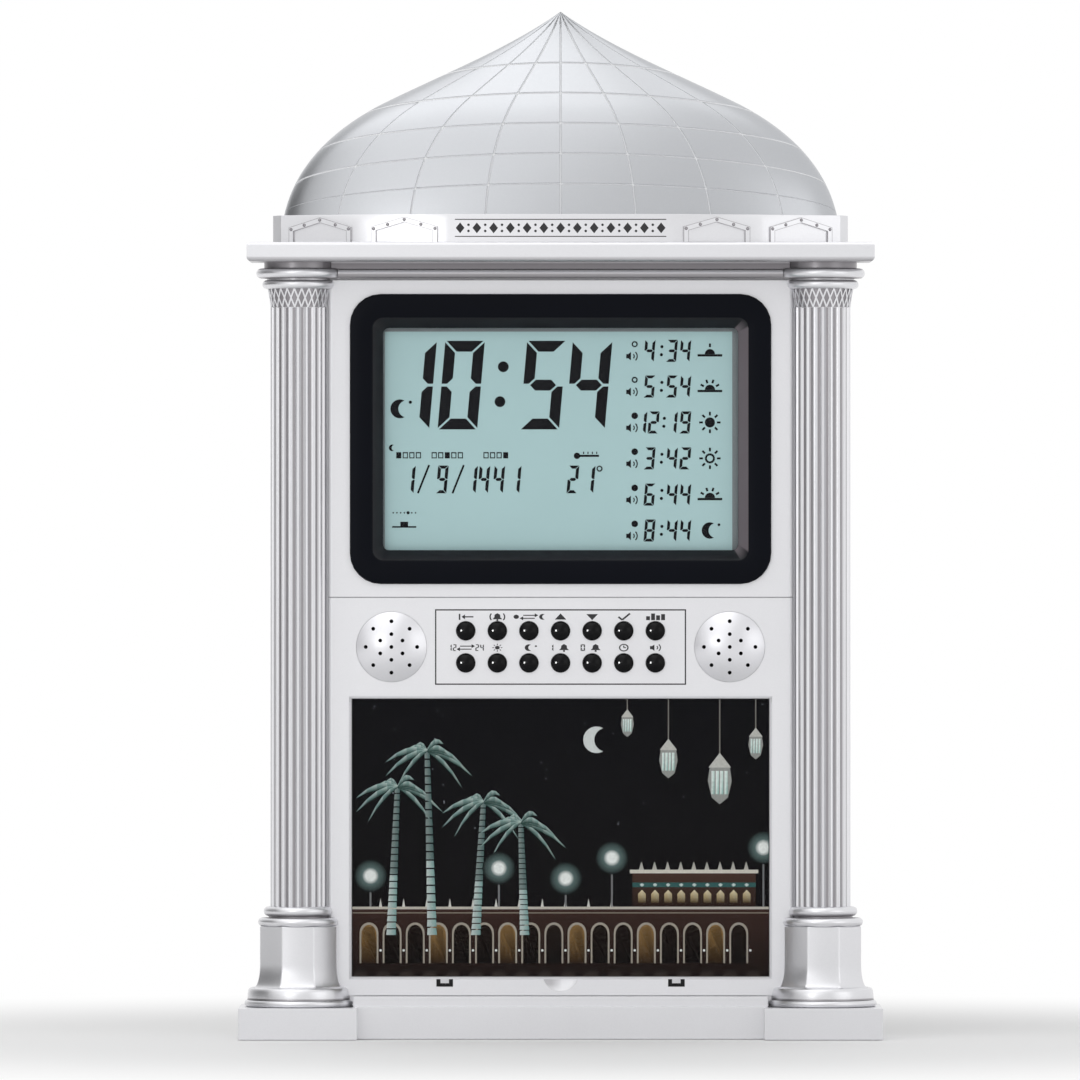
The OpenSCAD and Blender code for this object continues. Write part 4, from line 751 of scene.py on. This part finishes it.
# Digits are (char, left), round signs (x, z, radius), and leaves of the calendar (left, count, marked)
displayLook = {
    "y": 0.12, "bigLow": 236.9, "bigHeight": 34.5, "bigWidth": 15.4, "bigThick": 4.2,
    "big": [("1", -66.6), ("0", -47.9), ("5", -16.0), ("4", 1.8)],
    "dots": [(-22.3, 261.3), (-23.6, 247.7)], "dotR": 2.1, "moon": (-62.6, 244.9, 3.7),
    "dateLow": 212.0, "dateHeight": 10.8, "dateWidth": 4.1, "dateThick": 1.2,
    "date": [("1", -61.4), ("/", -55.6), ("9", -48.6), ("/", -42.1), ("1", -37.2), ("4", -32.4), ("4", -26.6),
             ("1", -20.2)],
    "warmth": [("2", 2.3), ("1", 8.6)], "degree": (15.2, 221.6, 0.95),
    "leaves": [(-64.0, 4, 0), (-50.2, 5, 2), (-30.0, 4, 3)], "leafPitch": 2.55, "leafLow": 225.6,
    "leafWidth": 1.95, "leafHeight": 2.4, "gaugeX": 6.4, "gaugeZ": 226.6, "smallMoon": (-65.6, 229.7, 1.3),
    "weekX": -65.2, "weekZ": 204.4, "weekPitch": 1.45, "weekDay": 4,
    "stand": [(-65.6, 198.6, -56.2, 199.2), (-62.4, 199.2, -59.4, 200.9)],
    "rows": [267.5, 253.6, 239.6, 225.6, 211.5, 197.5], "am": [1, 1, 0, 0, 0, 0],
    "times": ["4:34", "5:54", "12:19", "3:42", "6:44", "8:44"],
    "signs": ["dawn", "rise", "noon", "after", "set", "night"],
    "smallHeight": 8.6, "smallWidth": 4.0, "smallThick": 1.1, "hourX": 32.3, "hourPitch": 4.8,
    "twoDigitShift": 1.6, "colonX": 39.5, "minuteX": 41.0, "minutePitch": 5.2, "ringX": 28.9,
    "speakerX": 25.6, "skyX": 58.2,
    "edgeShadow": [(-69.1, 275.0, 69.1, 276.35), (66.9, 189.9, 69.1, 275.0), (-69.1, 189.9, -68.5, 275.0)],
}


def speakerSign(x, z, s):
    cone = [(x, z - 0.5 * s), (x + 0.5 * s, z - 0.5 * s), (x + 1.1 * s, z - s), (x + 1.1 * s, z + s),
            (x + 0.5 * s, z + 0.5 * s), (x, z + 0.5 * s)]
    waves = [part for r in (0.7, 1.4) for part in arcLine(x + 1.2 * s, z, r * s, -45, 45, 0.28 * s, 5)]
    return [cone] + waves


# Signs for the six times: sun below, at and above the skyline, and the moon
def skySign(kind, x, z, s):
    if kind == "night":
        return [crescent(x, z, s), disc(x + 1.1 * s, z + 0.7 * s, 0.18 * s, 8)]
    high = kind in ("noon", "after")
    centre = z if high else z - 0.4 * s
    shapes = [] if high else stroke([(x - 1.5 * s, z - 0.55 * s), (x + 1.5 * s, z - 0.55 * s)], 0.28 * s)
    if kind == "noon":
        shapes.append(disc(x, z, 0.62 * s, 18))
    elif kind == "after":
        shapes += arcLine(x, z, 0.5 * s, 0, 360, 0.26 * s, 16)
    else:
        shapes.append(arc(x, centre, 0.62 * s, 0, 180, 12))
    lowRays = [90] if kind == "dawn" else range(30, 151, 40)
    for a in range(0, 360, 45) if high else lowRays:
        shapes += stroke([polar(0.85 * s, a, x, centre), polar(1.3 * s, a, x, centre)], 0.24 * s)
    return shapes


def calendarLeaf(x, low, width, height, marked):
    right, high = x + width, low + height
    if marked:
        return [oblong(x, low, right, high)]
    return [*stroke([(x + 0.15, low), (x + 0.15, high)], 0.35),
            *stroke([(right - 0.15, low), (right - 0.15, high)], 0.35),
            *stroke([(x, high - 0.2), (right, high - 0.2)], 0.45),
            *stroke([(x, low + 0.2), (right, low + 0.2)], 0.35)]


def timeRow(row, text, am, kind):
    look = displayLook
    size = row - look["smallHeight"] / 2, look["smallWidth"], look["smallHeight"], look["smallThick"]
    hour, minutes = text.split(":")
    shift = look["twoDigitShift"] if len(hour) == 2 else 0
    colon = look["colonX"] + shift * 0.6
    shapes = []
    for k, char in enumerate(minutes):
        shapes += digitShapes(char, look["minuteX"] + look["minutePitch"] * k, *size)
    shapes += [disc(colon, row + 1.6, 0.62, 12), disc(colon - 0.2, row - 1.5, 0.62, 12)]
    for k, char in enumerate(hour[::-1]):
        shapes += digitShapes(char, look["hourX"] + shift - look["hourPitch"] * k, *size)
    ring = (look["ringX"], row + 2.6)
    shapes += arcLine(*ring, 0.95, 0, 360, 0.55, 14) if am else [disc(*ring, 1.3, 14)]
    return shapes + speakerSign(look["speakerX"], row - 2.1, 1.65) + skySign(kind, look["skyX"], row, 3.2)


def buildDisplay():
    look = displayLook
    size = look["bigLow"], look["bigWidth"], look["bigHeight"], look["bigThick"]
    shapes = []
    for char, left in look["big"]:
        shapes += digitShapes(char, left, *size)
    shapes += [disc(x, z, look["dotR"], 26) for x, z in look["dots"]]
    shapes += skySign("night", *look["moon"])
    size = look["dateLow"], look["dateWidth"], look["dateHeight"], look["dateThick"]
    for char, left in look["date"] + look["warmth"]:
        if char == "/":
            shapes += stroke([(left, size[0]), (left + 4.4, size[0] + 11)], 0.75)
        else:
            shapes += digitShapes(char, left, *size)
    shapes += arcLine(*look["degree"], 0, 360, 0.5, 16)
    for left, count, marked in look["leaves"]:
        for k in range(count):
            shapes += calendarLeaf(left + look["leafPitch"] * k, look["leafLow"], look["leafWidth"],
                                   look["leafHeight"], k == marked)
    # Gauge with four marks
    x, z = look["gaugeX"], look["gaugeZ"]
    shapes += [disc(x, z, 1.25, 16)] + stroke([(x + 0.6, z), (x + 8.6, z)], 0.8)
    shapes += [oblong(x + 2.4 + 1.7 * k, z + 0.7, x + 2.8 + 1.7 * k, z + 1.6) for k in range(4)]
    shapes.append(crescent(*look["smallMoon"]))
    # Days of the week, and a small stand
    for k in range(7):
        size = 0.62 if k == look["weekDay"] else 0.3
        shapes.append(disc(look["weekX"] + look["weekPitch"] * k, look["weekZ"], size, 12))
    shapes += [oblong(*part) for part in look["stand"]]
    for row in zip(look["rows"], look["times"], look["am"], look["signs"]):
        shapes += timeRow(*row)
    printShapes("displaySigns", shapes, look["y"], lcdInk)
    # Painted shadow: grey strips inside the window's top, right and left edges
    printShapes("displayEdgeShadow", [oblong(*part) for part in look["edgeShadow"]], look["y"], lcdEdgeShadow)


buildDisplay()
print("display dressed")

# Lower edge of the picture opening: black slips that stand for the shade in the gaps round the snap tabs, a
# scoop for a fingertip
openingLook = {
    "low": 22.8, "front": -5.5, "gapY": -2.52, "catchX": 45.1, "catchWidth": 6.5, "catchHeight": 2.9,
    "tabWidth": 3.3, "tabHeight": 1.6, "scoopWidth": 13.3, "scoopHeight": 4.6, "scoopDepth": 1.4,
    "bowl": 1.3, "skin": 0.04, "turns": 28, "rows": 10,
}


def buildOpeningDetails():
    look = openingLook
    low, deep = look["low"], look["low"] - look["catchHeight"]
    gaps = []
    for side in (-1, 1):
        x, wide, tab = side * look["catchX"], look["catchWidth"] / 2, look["tabWidth"] / 2
        gaps += [oblong(x - wide, deep, x - tab, low), oblong(x + tab, deep, x + wide, low),
                 oblong(x - tab, deep, x + tab, low - look["tabHeight"])]
    # Painted shade: thin black slips lie in the gaps round the tabs, where there would be only shadow
    printShapes("catchGapShade", gaps, look["gapY"], paper)
    # Bowl under the flap's edge: deepest at the top, level with the panel at its rim
    half, height, front, skin = look["scoopWidth"] / 2, look["scoopHeight"], look["front"], look["skin"]
    radius = (half * half + height * height) / (2 * height)
    centre = low - height + radius
    steps = look["rows"]
    turns = [180 + 180 * k / look["turns"] for k in range(look["turns"] + 1)]

    def point(degrees, share, y):
        drop = (low - centre) * math.sin(math.radians(degrees))
        reach = -drop + math.sqrt(max(drop * drop + radius * radius - (low - centre) ** 2, 0)) - skin
        x, z = polar(reach * share, degrees, 0, low)
        return inMetres(x, y, z)

    bm = bmesh.new()
    backY = front + look["scoopDepth"] - 0.02
    points = [[inMetres(0, front + skin + look["bowl"], low)]]
    for k in range(1, steps + 1):
        y = front + skin + look["bowl"] * (1 - (k / steps) ** 2) ** 0.8
        points.append([point(a, k / steps, y) for a in turns])
    points += [[point(a, 1, backY) for a in turns], [inMetres(0, backY, low)]]
    rows = vertexRows(bm, points)
    skinRows(bm, rows, closed=False)
    for end in (0, -1):
        bm.faces.new([row[end] for row in rows])
    # Painted shade on its left half, deepest towards the top
    shadeLayer = bm.verts.layers.float.new("paintedShade")
    for vert in bm.verts:
        leftward = min(max((0.5 - vert.co.x / mm) / 4, 0), 1)
        vert[shadeLayer] = 0.45 * leftward * min(max((vert.co.z / mm - low + 4.4) / 2.5, 0), 1)
    finishPiece(bm, "fingerScoop", panelPaint, weld=False)


buildOpeningDetails()
print("picture opening dressed")

# Keys: polished caps that run in the panel
keyLook = {"z": 152.2, "pitch": 12.3, "rowPitch": 12.5, "radius": 3.66, "front": -7.8, "domed": 1.7,
           "flangeR": 4.7, "flangeFront": 0.3, "flangeBack": 1.3, "capSteps": 12, "steps": 40}


def buildKeys():
    look = keyLook
    r, rise, front, flangeR = look["radius"], look["domed"], look["front"], look["flangeR"]
    ball = (r * r + rise * rise) / (2 * rise)
    limit = math.asin(r / ball)
    profile = [(0, look["flangeBack"]), (flangeR, look["flangeBack"]), (flangeR, look["flangeFront"]),
               (r, look["flangeFront"]), (r, front + rise + 0.1)]
    for k in range(look["capSteps"]):
        a = limit * (1 - k / look["capSteps"])
        profile.append((ball * math.sin(a) - (0.03 if k == 0 else 0), front + ball * (1 - math.cos(a))))
    profile.append((0, front))
    for row, sign in (("top", 1), ("bottom", -1)):
        for i in range(1, 8):
            cx, cz = (i - 4) * look["pitch"], look["z"] + sign * look["rowPitch"] / 2
            bm = bmesh.new()
            loft(bm, latheRings(profile, look["steps"], lambda x, z, y: inMetres(cx + x, y, cz + z)))
            node = f"key_{row}_{i}"
            piece = finishPiece(bm, f"{row}Key{i}", keyAbs, body=node, sharpAngle=40)
            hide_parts(node)


buildKeys()
signLook = {"y": -5.5, "left": -48.6, "right": 48.6, "low": 137.7, "high": 166.6, "line": 0.5,
            "topZ": 163.9, "bottomZ": 151.9, "wider": 1.5, "taller": 1.18}


# Plain signs over the keys, each drawn about its own middle, and the line round them
def buildKeySigns():
    look = signLook
    corners = oblong(look["left"], look["low"], look["right"], look["high"])
    half = look["line"] / 2
    shapes = stroke(corners + corners[:1], look["line"])
    shapes += [oblong(x - half, z - half, x + half, z + half) for x, z in corners]
    swap = []
    for s in (-1, 1):
        swap += stroke([(-1.5, 0.5 * s), (1.5, 0.5 * s)], 0.32)
        swap.append([(s * 1.5, 0.5 * s + 0.65), (s * 2.4, 0.5 * s), (s * 1.5, 0.5 * s - 0.65)])

    def bell(x):
        return [[(x - 1.3, -0.8), (x + 1.3, -0.8), (x + 0.8, -0.2), (x + 0.7, 0.7), (x, 1.2), (x - 0.7, 0.7),
                 (x - 0.8, -0.2)], disc(x, -1.1, 0.3, 8)]

    def number(text, left, width, thick):
        return [part for k, char in enumerate(text)
                for part in digitShapes(char, left + 1.25 * k, -1.1, width, 2.2, thick, 0)]

    signs = [
        stroke([(-1.6, -1), (-1.6, 1)], 0.4) + stroke([(2, 0), (-0.4, 0)], 0.4) +
        [[(-1.1, 0), (-0.2, 0.8), (-0.2, -0.8)]],
        bell(0) + arcLine(0, 0, 1.9, -35, 35, 0.35, 5) + arcLine(0, 0, 1.9, 145, 215, 0.35, 5),
        swap + [disc(-3.3, 0, 0.7), crescent(3.6, 0, 0.95)],
        [[(-1.5, -0.9), (1.5, -0.9), (0, 1.1)]],
        [[(-1.5, 0.9), (0, -1.1), (1.5, 0.9)]],
        stroke([(-1.4, 0), (-0.4, -1), (1.6, 1.1)], 0.5),
        [oblong(-2.4 + k * 1.3, -1.1, -1.4 + k * 1.3, high) for k, high in enumerate((0.2, 1.1, 0.5, 0.9))],
        swap + number("12", -4.6, 0.95, 0.3) + number("24", 2.5, 0.95, 0.3),
        skySign("noon", 0, 0, 1.0),
        [crescent(0, 0, 1.1), disc(1.8, 0.5, 0.3, 8)],
        number("1", -3.0, 1.15, 0.35) + bell(0.9),
        number("0", -3.0, 1.15, 0.35) + bell(0.9),
        arcLine(0, 0, 1.1, 0, 360, 0.35, 18) + stroke([(0, 0.7), (0, 0), (0.6, 0)], 0.3),
        speakerSign(-1.4, 0, 1.05),
    ]
    for k, sign in enumerate(signs):
        x, z = (k % 7 - 3) * keyLook["pitch"], look["topZ"] if k < 7 else look["bottomZ"]
        shapes += [[(x + px * look["wider"], z + pz * look["taller"]) for px, pz in shape] for shape in sign]
    printShapes("keySigns", shapes, look["y"], markInk)


buildKeySigns()
print("keys dressed")

# Picture behind the flap: a made-up night garden with an arcade, palms and lanterns
pictureLook = {
    "left": -81.1, "right": 81.1, "low": 24.0, "high": 131.9, "y": -2.36, "inkStep": 0.0006,
    "stars": 46, "wall": 50, "courses": (26.4, 31.5, 36.6, 46.0), "arches": 17, "pitch": 9.0,
    "palms": ((-66, 98, 2.5), (-50, 112, -2), (-33, 92, 3), (-14, 84, -1.5)), "trunkRings": 22, "fronds": 11,
    "lamps": ((-74, 63), (-24, 66), (2, 62), (20, 70), (79, 74)), "glow": 6.5,
    "lanterns": ((42, 108, 1.0), (62, 100, 1.3), (76, 114, 0.8), (26, 122, 0.7)), "slabs": 18,
}


# Offset print on coated card: flat inks under a thin gloss, with a faint screen grain
def makePrint():
    material, tree, place = newMaterial("Offset print on coated card")
    inks = addNode(tree, "VertexColor", {"layer_name": "printColour"})
    screen = addNode(tree, "TexNoise", {"Scale": 1 / (0.8 * mm), "Detail": 2.0}, {"Vector": place})
    grain = addNode(tree, "MapRange", {"To Min": 0.78, "To Max": 1.16}, {"Value": screen})
    inked = addNode(tree, "Mix", {"data_type": "RGBA", "blend_type": "MULTIPLY", 0: 1.0}, {6: inks, 7: grain})
    shader = addNode(tree, "BsdfPrincipled", {"Roughness": 0.3, "Specular IOR Level": 0.07},
                     {"Base Color": inked})
    addNode(tree, "OutputMaterial", {}, {"Surface": shader})
    return material


def buildPicture():
    look = pictureLook
    left, right, floorZ, high, wall = [look[key] for key in ("left", "right", "low", "high", "wall")]
    bm = bmesh.new()
    colours = bm.loops.layers.float_color.new("printColour")

    # Each shape lies a little in front of the last. Its inks are shared out evenly over its corners
    def paint(shape, *inks):
        y = look["y"] - look["inkStep"] * (len(bm.faces) + 1)
        inside = [(min(max(x, left), right), min(max(z, floorZ), high)) for x, z in shape]
        face = bm.faces.new([bm.verts.new(inMetres(x, y, z)) for x, z in inside])
        for k, loop in enumerate(face.loops):
            loop[colours] = linear(inks[k * len(inks) // len(shape)])

    paint(oblong(left, floorZ, right, high), "#0B080A", "#030308")
    picks = random.Random(11)
    for _ in range(look["stars"]):
        paint(disc(picks.uniform(-79, 79), picks.uniform(78, 130), picks.uniform(0.12, 0.3), 6), "#8C949C")
    paint(crescent(14, 116, 5.2), "#DDE3E2")
    # Arcade: stone wall, lit string course, arches with lamps behind them
    paint(oblong(left, floorZ, right, wall), "#170E0C", "#3B2823")
    paint(oblong(left, wall, right, wall + 1.0), "#C9C4B8")
    paint(oblong(left, wall - 1.6, right, wall - 1.2), "#8F8779")
    for course in look["courses"]:
        paint(oblong(left, course, right, course + 0.25), "#241713")
    for k in range(look["arches"]):
        x = left + 6.5 + look["pitch"] * k
        head = [(-px, 40 + pz / 0.75) for px, pz in arc(0, 0, 3, 0, 180, 9)]
        arch = [(-3, 29), *head, (3, 29)]
        paint([(x + px * 1.22, pz + (0.9 if pz > 39 else 0)) for px, pz in arch], "#A9A295")
        foot, lit = ("#0A0606", "#1E1410") if k % 3 else ("#2C1E14", "#8A6C43")
        paint([(x + px, pz) for px, pz in arch], foot, *[lit] * len(head), foot)
        paint(disc(x + 4.5, 34, 0.5, 10), "#E8EDEA")
        paint([(x + 3.9, wall + 1), (x + 5.1, wall + 1), (x + 4.5, wall + 4.2)], "#D9DAD4")
    # Garden pavilion at the right, with a tiled band and a gallery
    paint(oblong(28, wall + 1, 76, 64), "#2A1C18", "#4A352D")
    paint(oblong(27, 64, 77, 65.4), "#DAD7CC")
    paint(oblong(28, 58.6, 76, 60.4), "#35605E")
    for k in range(9):
        x = 31.7 + 5.1 * k
        paint([(x - 1.5, 52.4), (x + 1.5, 52.4), (x + 1.5, 56), (x, 57.6), (x - 1.5, 56)],
              "#3A2A1C", "#3A2A1C", "#C8B58A", "#E6DBB6", "#C8B58A")
        paint([(x - 1.2, 65.4), (x + 0.8, 65.4), (x - 0.2, 68.6)], "#B9B8B0")
        paint([(x - 0.9, 59.5), (x, 58.8), (x + 0.9, 59.5), (x, 60.2)], "#C9DAD6")
    # Palms, lit from below
    for foot, tall, lean in look["palms"]:
        count = look["trunkRings"]
        low = wall - 10
        for k in range(count):
            t0, t1 = k / count, (k + 0.82) / count
            wide = 1.9 - 0.9 * t0
            x0, x1 = foot + lean * t0, foot + lean * t1
            z0, z1 = low + (tall - low) * t0, low + (tall - low) * t1
            bright, dim = ("#CBD6D3", "#7FA7A4") if k < 9 else ("#8C9A97", "#4F6B69")
            paint([(x0 - wide, z0), (x0 + wide, z0), (x1 + wide * 0.9, z1), (x1 - wide * 0.9, z1)],
                  bright, dim, dim, bright)
        for f in range(look["fronds"]):
            a = math.radians(-25 + 23 * f)
            reach = 15 + 2.5 * math.sin(f * 1.7)
            # Along the leaf: its rib hangs over, and it is widest past the middle
            out, up = reach * math.cos(a), reach * math.sin(a) * 0.8
            leaf = [(foot + lean + out * t, tall + up * t - 9.5 * t * t, wide)
                    for t, wide in ((0, 0.7), (0.25, 1.5), (0.5, 1.7), (0.75, 1.1), (1, 0.1))]
            for (ax, az, wa), (bx, bz, wb) in zip(leaf, leaf[1:]):
                paint([(ax, az - wa), (bx, bz - wb), (bx, bz + wb * 0.4), (ax, az + wa * 0.4)],
                      "#1F3A36", "#16302C", "#8FB0AA", "#C2D4CF")
    # Lamps on posts, each in a halo that fades into the night
    core, halo, night = "#F6FBF8", "#5F7472", "#050407"
    rings = ((0, 0.28, core, core), (0.28, 0.5, core, halo), (0.5, 1, halo, night))
    for x, z in look["lamps"]:
        paint(oblong(x - 0.35, wall + 1, x + 0.35, z), "#7D7F80")
        for k in range(20):
            for near, far, inner, outer in rings:
                ring = arc(x, z, look["glow"] * far, 18 * k, 18 * (k + 1), 1)
                middle = arc(x, z, look["glow"] * near, 18 * (k + 1), 18 * k, 1) if near else [(x, z)]
                paint(ring + middle, outer, inner)
    # Hanging lanterns from the upper edge
    body = [(-3, 4), (-3.6, 0), (-2.4, -5), (0, -7), (2.4, -5), (3.6, 0), (3, 4)]
    for x, z, size in look["lanterns"]:
        paint(oblong(x - 0.2, z + 8 * size, x + 0.2, high), "#8C8A84")
        paint([(x + size * bx, z + size * bz) for bx, bz in body], "#9DA09C")
        for n in range(4):
            pane = x + size * (-2.5 + 1.3 * n)
            paint(oblong(pane, z - 4 * size, pane + 0.95 * size, z + 3 * size),
                  "#E9F6F1", "#7FB7B0", "#CFE6E0", "#F4FBF8")
        wide, low = 3.4 * size, z + 4 * size
        paint([(x - wide, low), (x + wide, low), (x, z + 8.4 * size)], "#C9CAC4")
    # Paving with lamp light on it
    for k in range(look["slabs"]):
        x = left + look["pitch"] * k
        paint([(x, floorZ), (x + 6, floorZ), (x + 5, 27), (x + 2, 27)], "#3C3430", "#17110F")
    piece = meshObject(bm, "picturePrint", makePrint())
    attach(piece, "clock_body")


buildPicture()
print("picture printed")

# Studio: pale floor, soft lamps, level camera straight on. Lamps are in metres and watts
studioLook = {
    "floor": "#F7F7F7", "floorNear": 0.2, "floorFar": 0.5, "floorSize": 6, "floorDrop": -0.0002,
    "cameraX": -8, "cameraY": -4845, "cameraZ": 193.8, "lens": 414.5, "sensor": 36, "aim": (0, 0, 0.2),
    # Metal sees a dark flag to the left and a slightly dim room behind the camera: (towards, from, level)
    "worldLevel": 0.58, "flags": (((0.0, -1.0, 0.0), 0.6, 0.9), ((-1.0, 0.0, 0.0), 0.45, 0.06)),
    "lamps": {
        "key": {"at": (-1.0, -1.3, 1.45), "size": 3.0, "power": 14},
        "fill": {"at": (1.4, -1.2, 0.5), "size": 1.1, "power": 2},
        "top": {"at": (-0.1, -0.1, 1.5), "size": 1.4, "power": 3.2},
        "spark": {"at": (-0.62, -1.45, 0.36), "size": 0.3, "power": 0.7},
        "glint": {"at": (-1.08, -1.12, 0.22), "size": 0.36, "power": 55},   # for the key caps alone
    },
}


# Is Camera Ray, and 1 for each ray that looks at the background: camera, glossy and transmission
def seenRays(tree):
    path = addNode(tree, "LightPath")
    seen = addNode(tree, "Math", {"operation": "MAXIMUM"},
                   {0: path.outputs["Is Camera Ray"], 1: path.outputs["Is Glossy Ray"]})
    shown = addNode(tree, "Math", {"operation": "MAXIMUM"}, {0: seen, 1: path.outputs["Is Transmission Ray"]})
    return path.outputs["Is Camera Ray"], shown


def makeFloor():
    look = studioLook
    material, tree, place = newMaterial("White paper floor")
    material.cycles.emission_sampling = "NONE"
    tooth = addNode(tree, "TexNoise", {"Scale": 1 / (3 * mm)}, {"Vector": place})
    bump = addNode(tree, "Bump", {"Strength": 0.03, "Distance": 0.0003}, {"Height": tooth})
    shader = addNode(tree, "BsdfPrincipled", {"Base Color": linear(look["floor"]), "Roughness": 0.7},
                     {"Normal": bump})
    # Away from the clock the paper fades into the white background
    away = addNode(tree, "VectorMath", {"operation": "LENGTH"}, {0: place})
    fade = addNode(tree, "MapRange", {"From Min": look["floorNear"], "From Max": look["floorFar"],
                                      "interpolation_type": "SMOOTHSTEP"}, {"Value": away})
    shown = seenRays(tree)[1]
    amount = addNode(tree, "Math", {"operation": "MULTIPLY"}, {0: fade, 1: shown})
    white = addNode(tree, "Emission", {"Color": linear("#FFFFFF"), "Strength": 1.0})
    paperMix = addNode(tree, "MixShader", {}, {0: amount, 1: shader, 2: white})
    addNode(tree, "OutputMaterial", {}, {"Surface": paperMix})
    bm = bmesh.new()
    bmesh.ops.create_grid(bm, x_segments=4, y_segments=4, size=look["floorSize"])
    floor = meshObject(bm, "floor", material)
    floor.location.z = look["floorDrop"]


def makeWorld():
    look = studioLook
    scene.world = bpy.data.worlds.new("Studio")
    scene.world.use_nodes = True
    tree = scene.world.node_tree
    tree.nodes.clear()
    cameraRay, shown = seenRays(tree)
    place = addNode(tree, "TexCoord").outputs["Generated"]
    rooms = []
    for towards, start, level in look["flags"]:
        facing = addNode(tree, "VectorMath", {"operation": "DOT_PRODUCT", 1: towards}, {0: place})
        span = {"From Min": start, "From Max": 0.95, "To Min": 1.0, "To Max": level}
        rooms.append(addNode(tree, "MapRange", span, {"Value": facing}))
    room = addNode(tree, "Math", {"operation": "MULTIPLY"}, {0: rooms[0], 1: rooms[1]})
    level = addNode(tree, "Mix", {2: look["worldLevel"]}, {0: shown, 3: room})
    strength = addNode(tree, "Mix", {3: 1.0}, {0: cameraRay, 2: level})
    sky = addNode(tree, "Background", {"Color": linear("#FFFFFF")}, {"Strength": strength})
    addNode(tree, "OutputWorld", {}, {"Surface": sky})


def setLamps():
    keyCaps = bpy.data.collections.new("keyCaps")
    for piece in scene.objects:
        if "Key" in piece.name:
            keyCaps.objects.link(piece)
    for name, lamp in studioLook["lamps"].items():
        light = bpy.data.lights.new(name, "AREA")
        light.energy = lamp["power"]
        light.size = lamp["size"]
        lampObject = addObject(name, light)
        lampObject.location = lamp["at"]
        aim = Vector(studioLook["aim"]) - Vector(lamp["at"])
        lampObject.rotation_euler = aim.to_track_quat("-Z", "Y").to_euler()
        if name == "glint":
            lampObject.light_linking.receiver_collection = keyCaps


def setCamera():
    look = studioLook
    camera = addObject("camera", bpy.data.cameras.new("camera"))
    camera.location = inMetres(look["cameraX"], look["cameraY"], look["cameraZ"])
    camera.rotation_euler = (math.radians(90), 0, 0)
    camera.data.lens = look["lens"]
    camera.data.sensor_width = look["sensor"]
    scene.camera = camera
    scene.view_settings.view_transform = "Standard"


makeFloor()
makeWorld()
setLamps()
setCamera()
print("studio set")
bpy.context.view_layer.update()
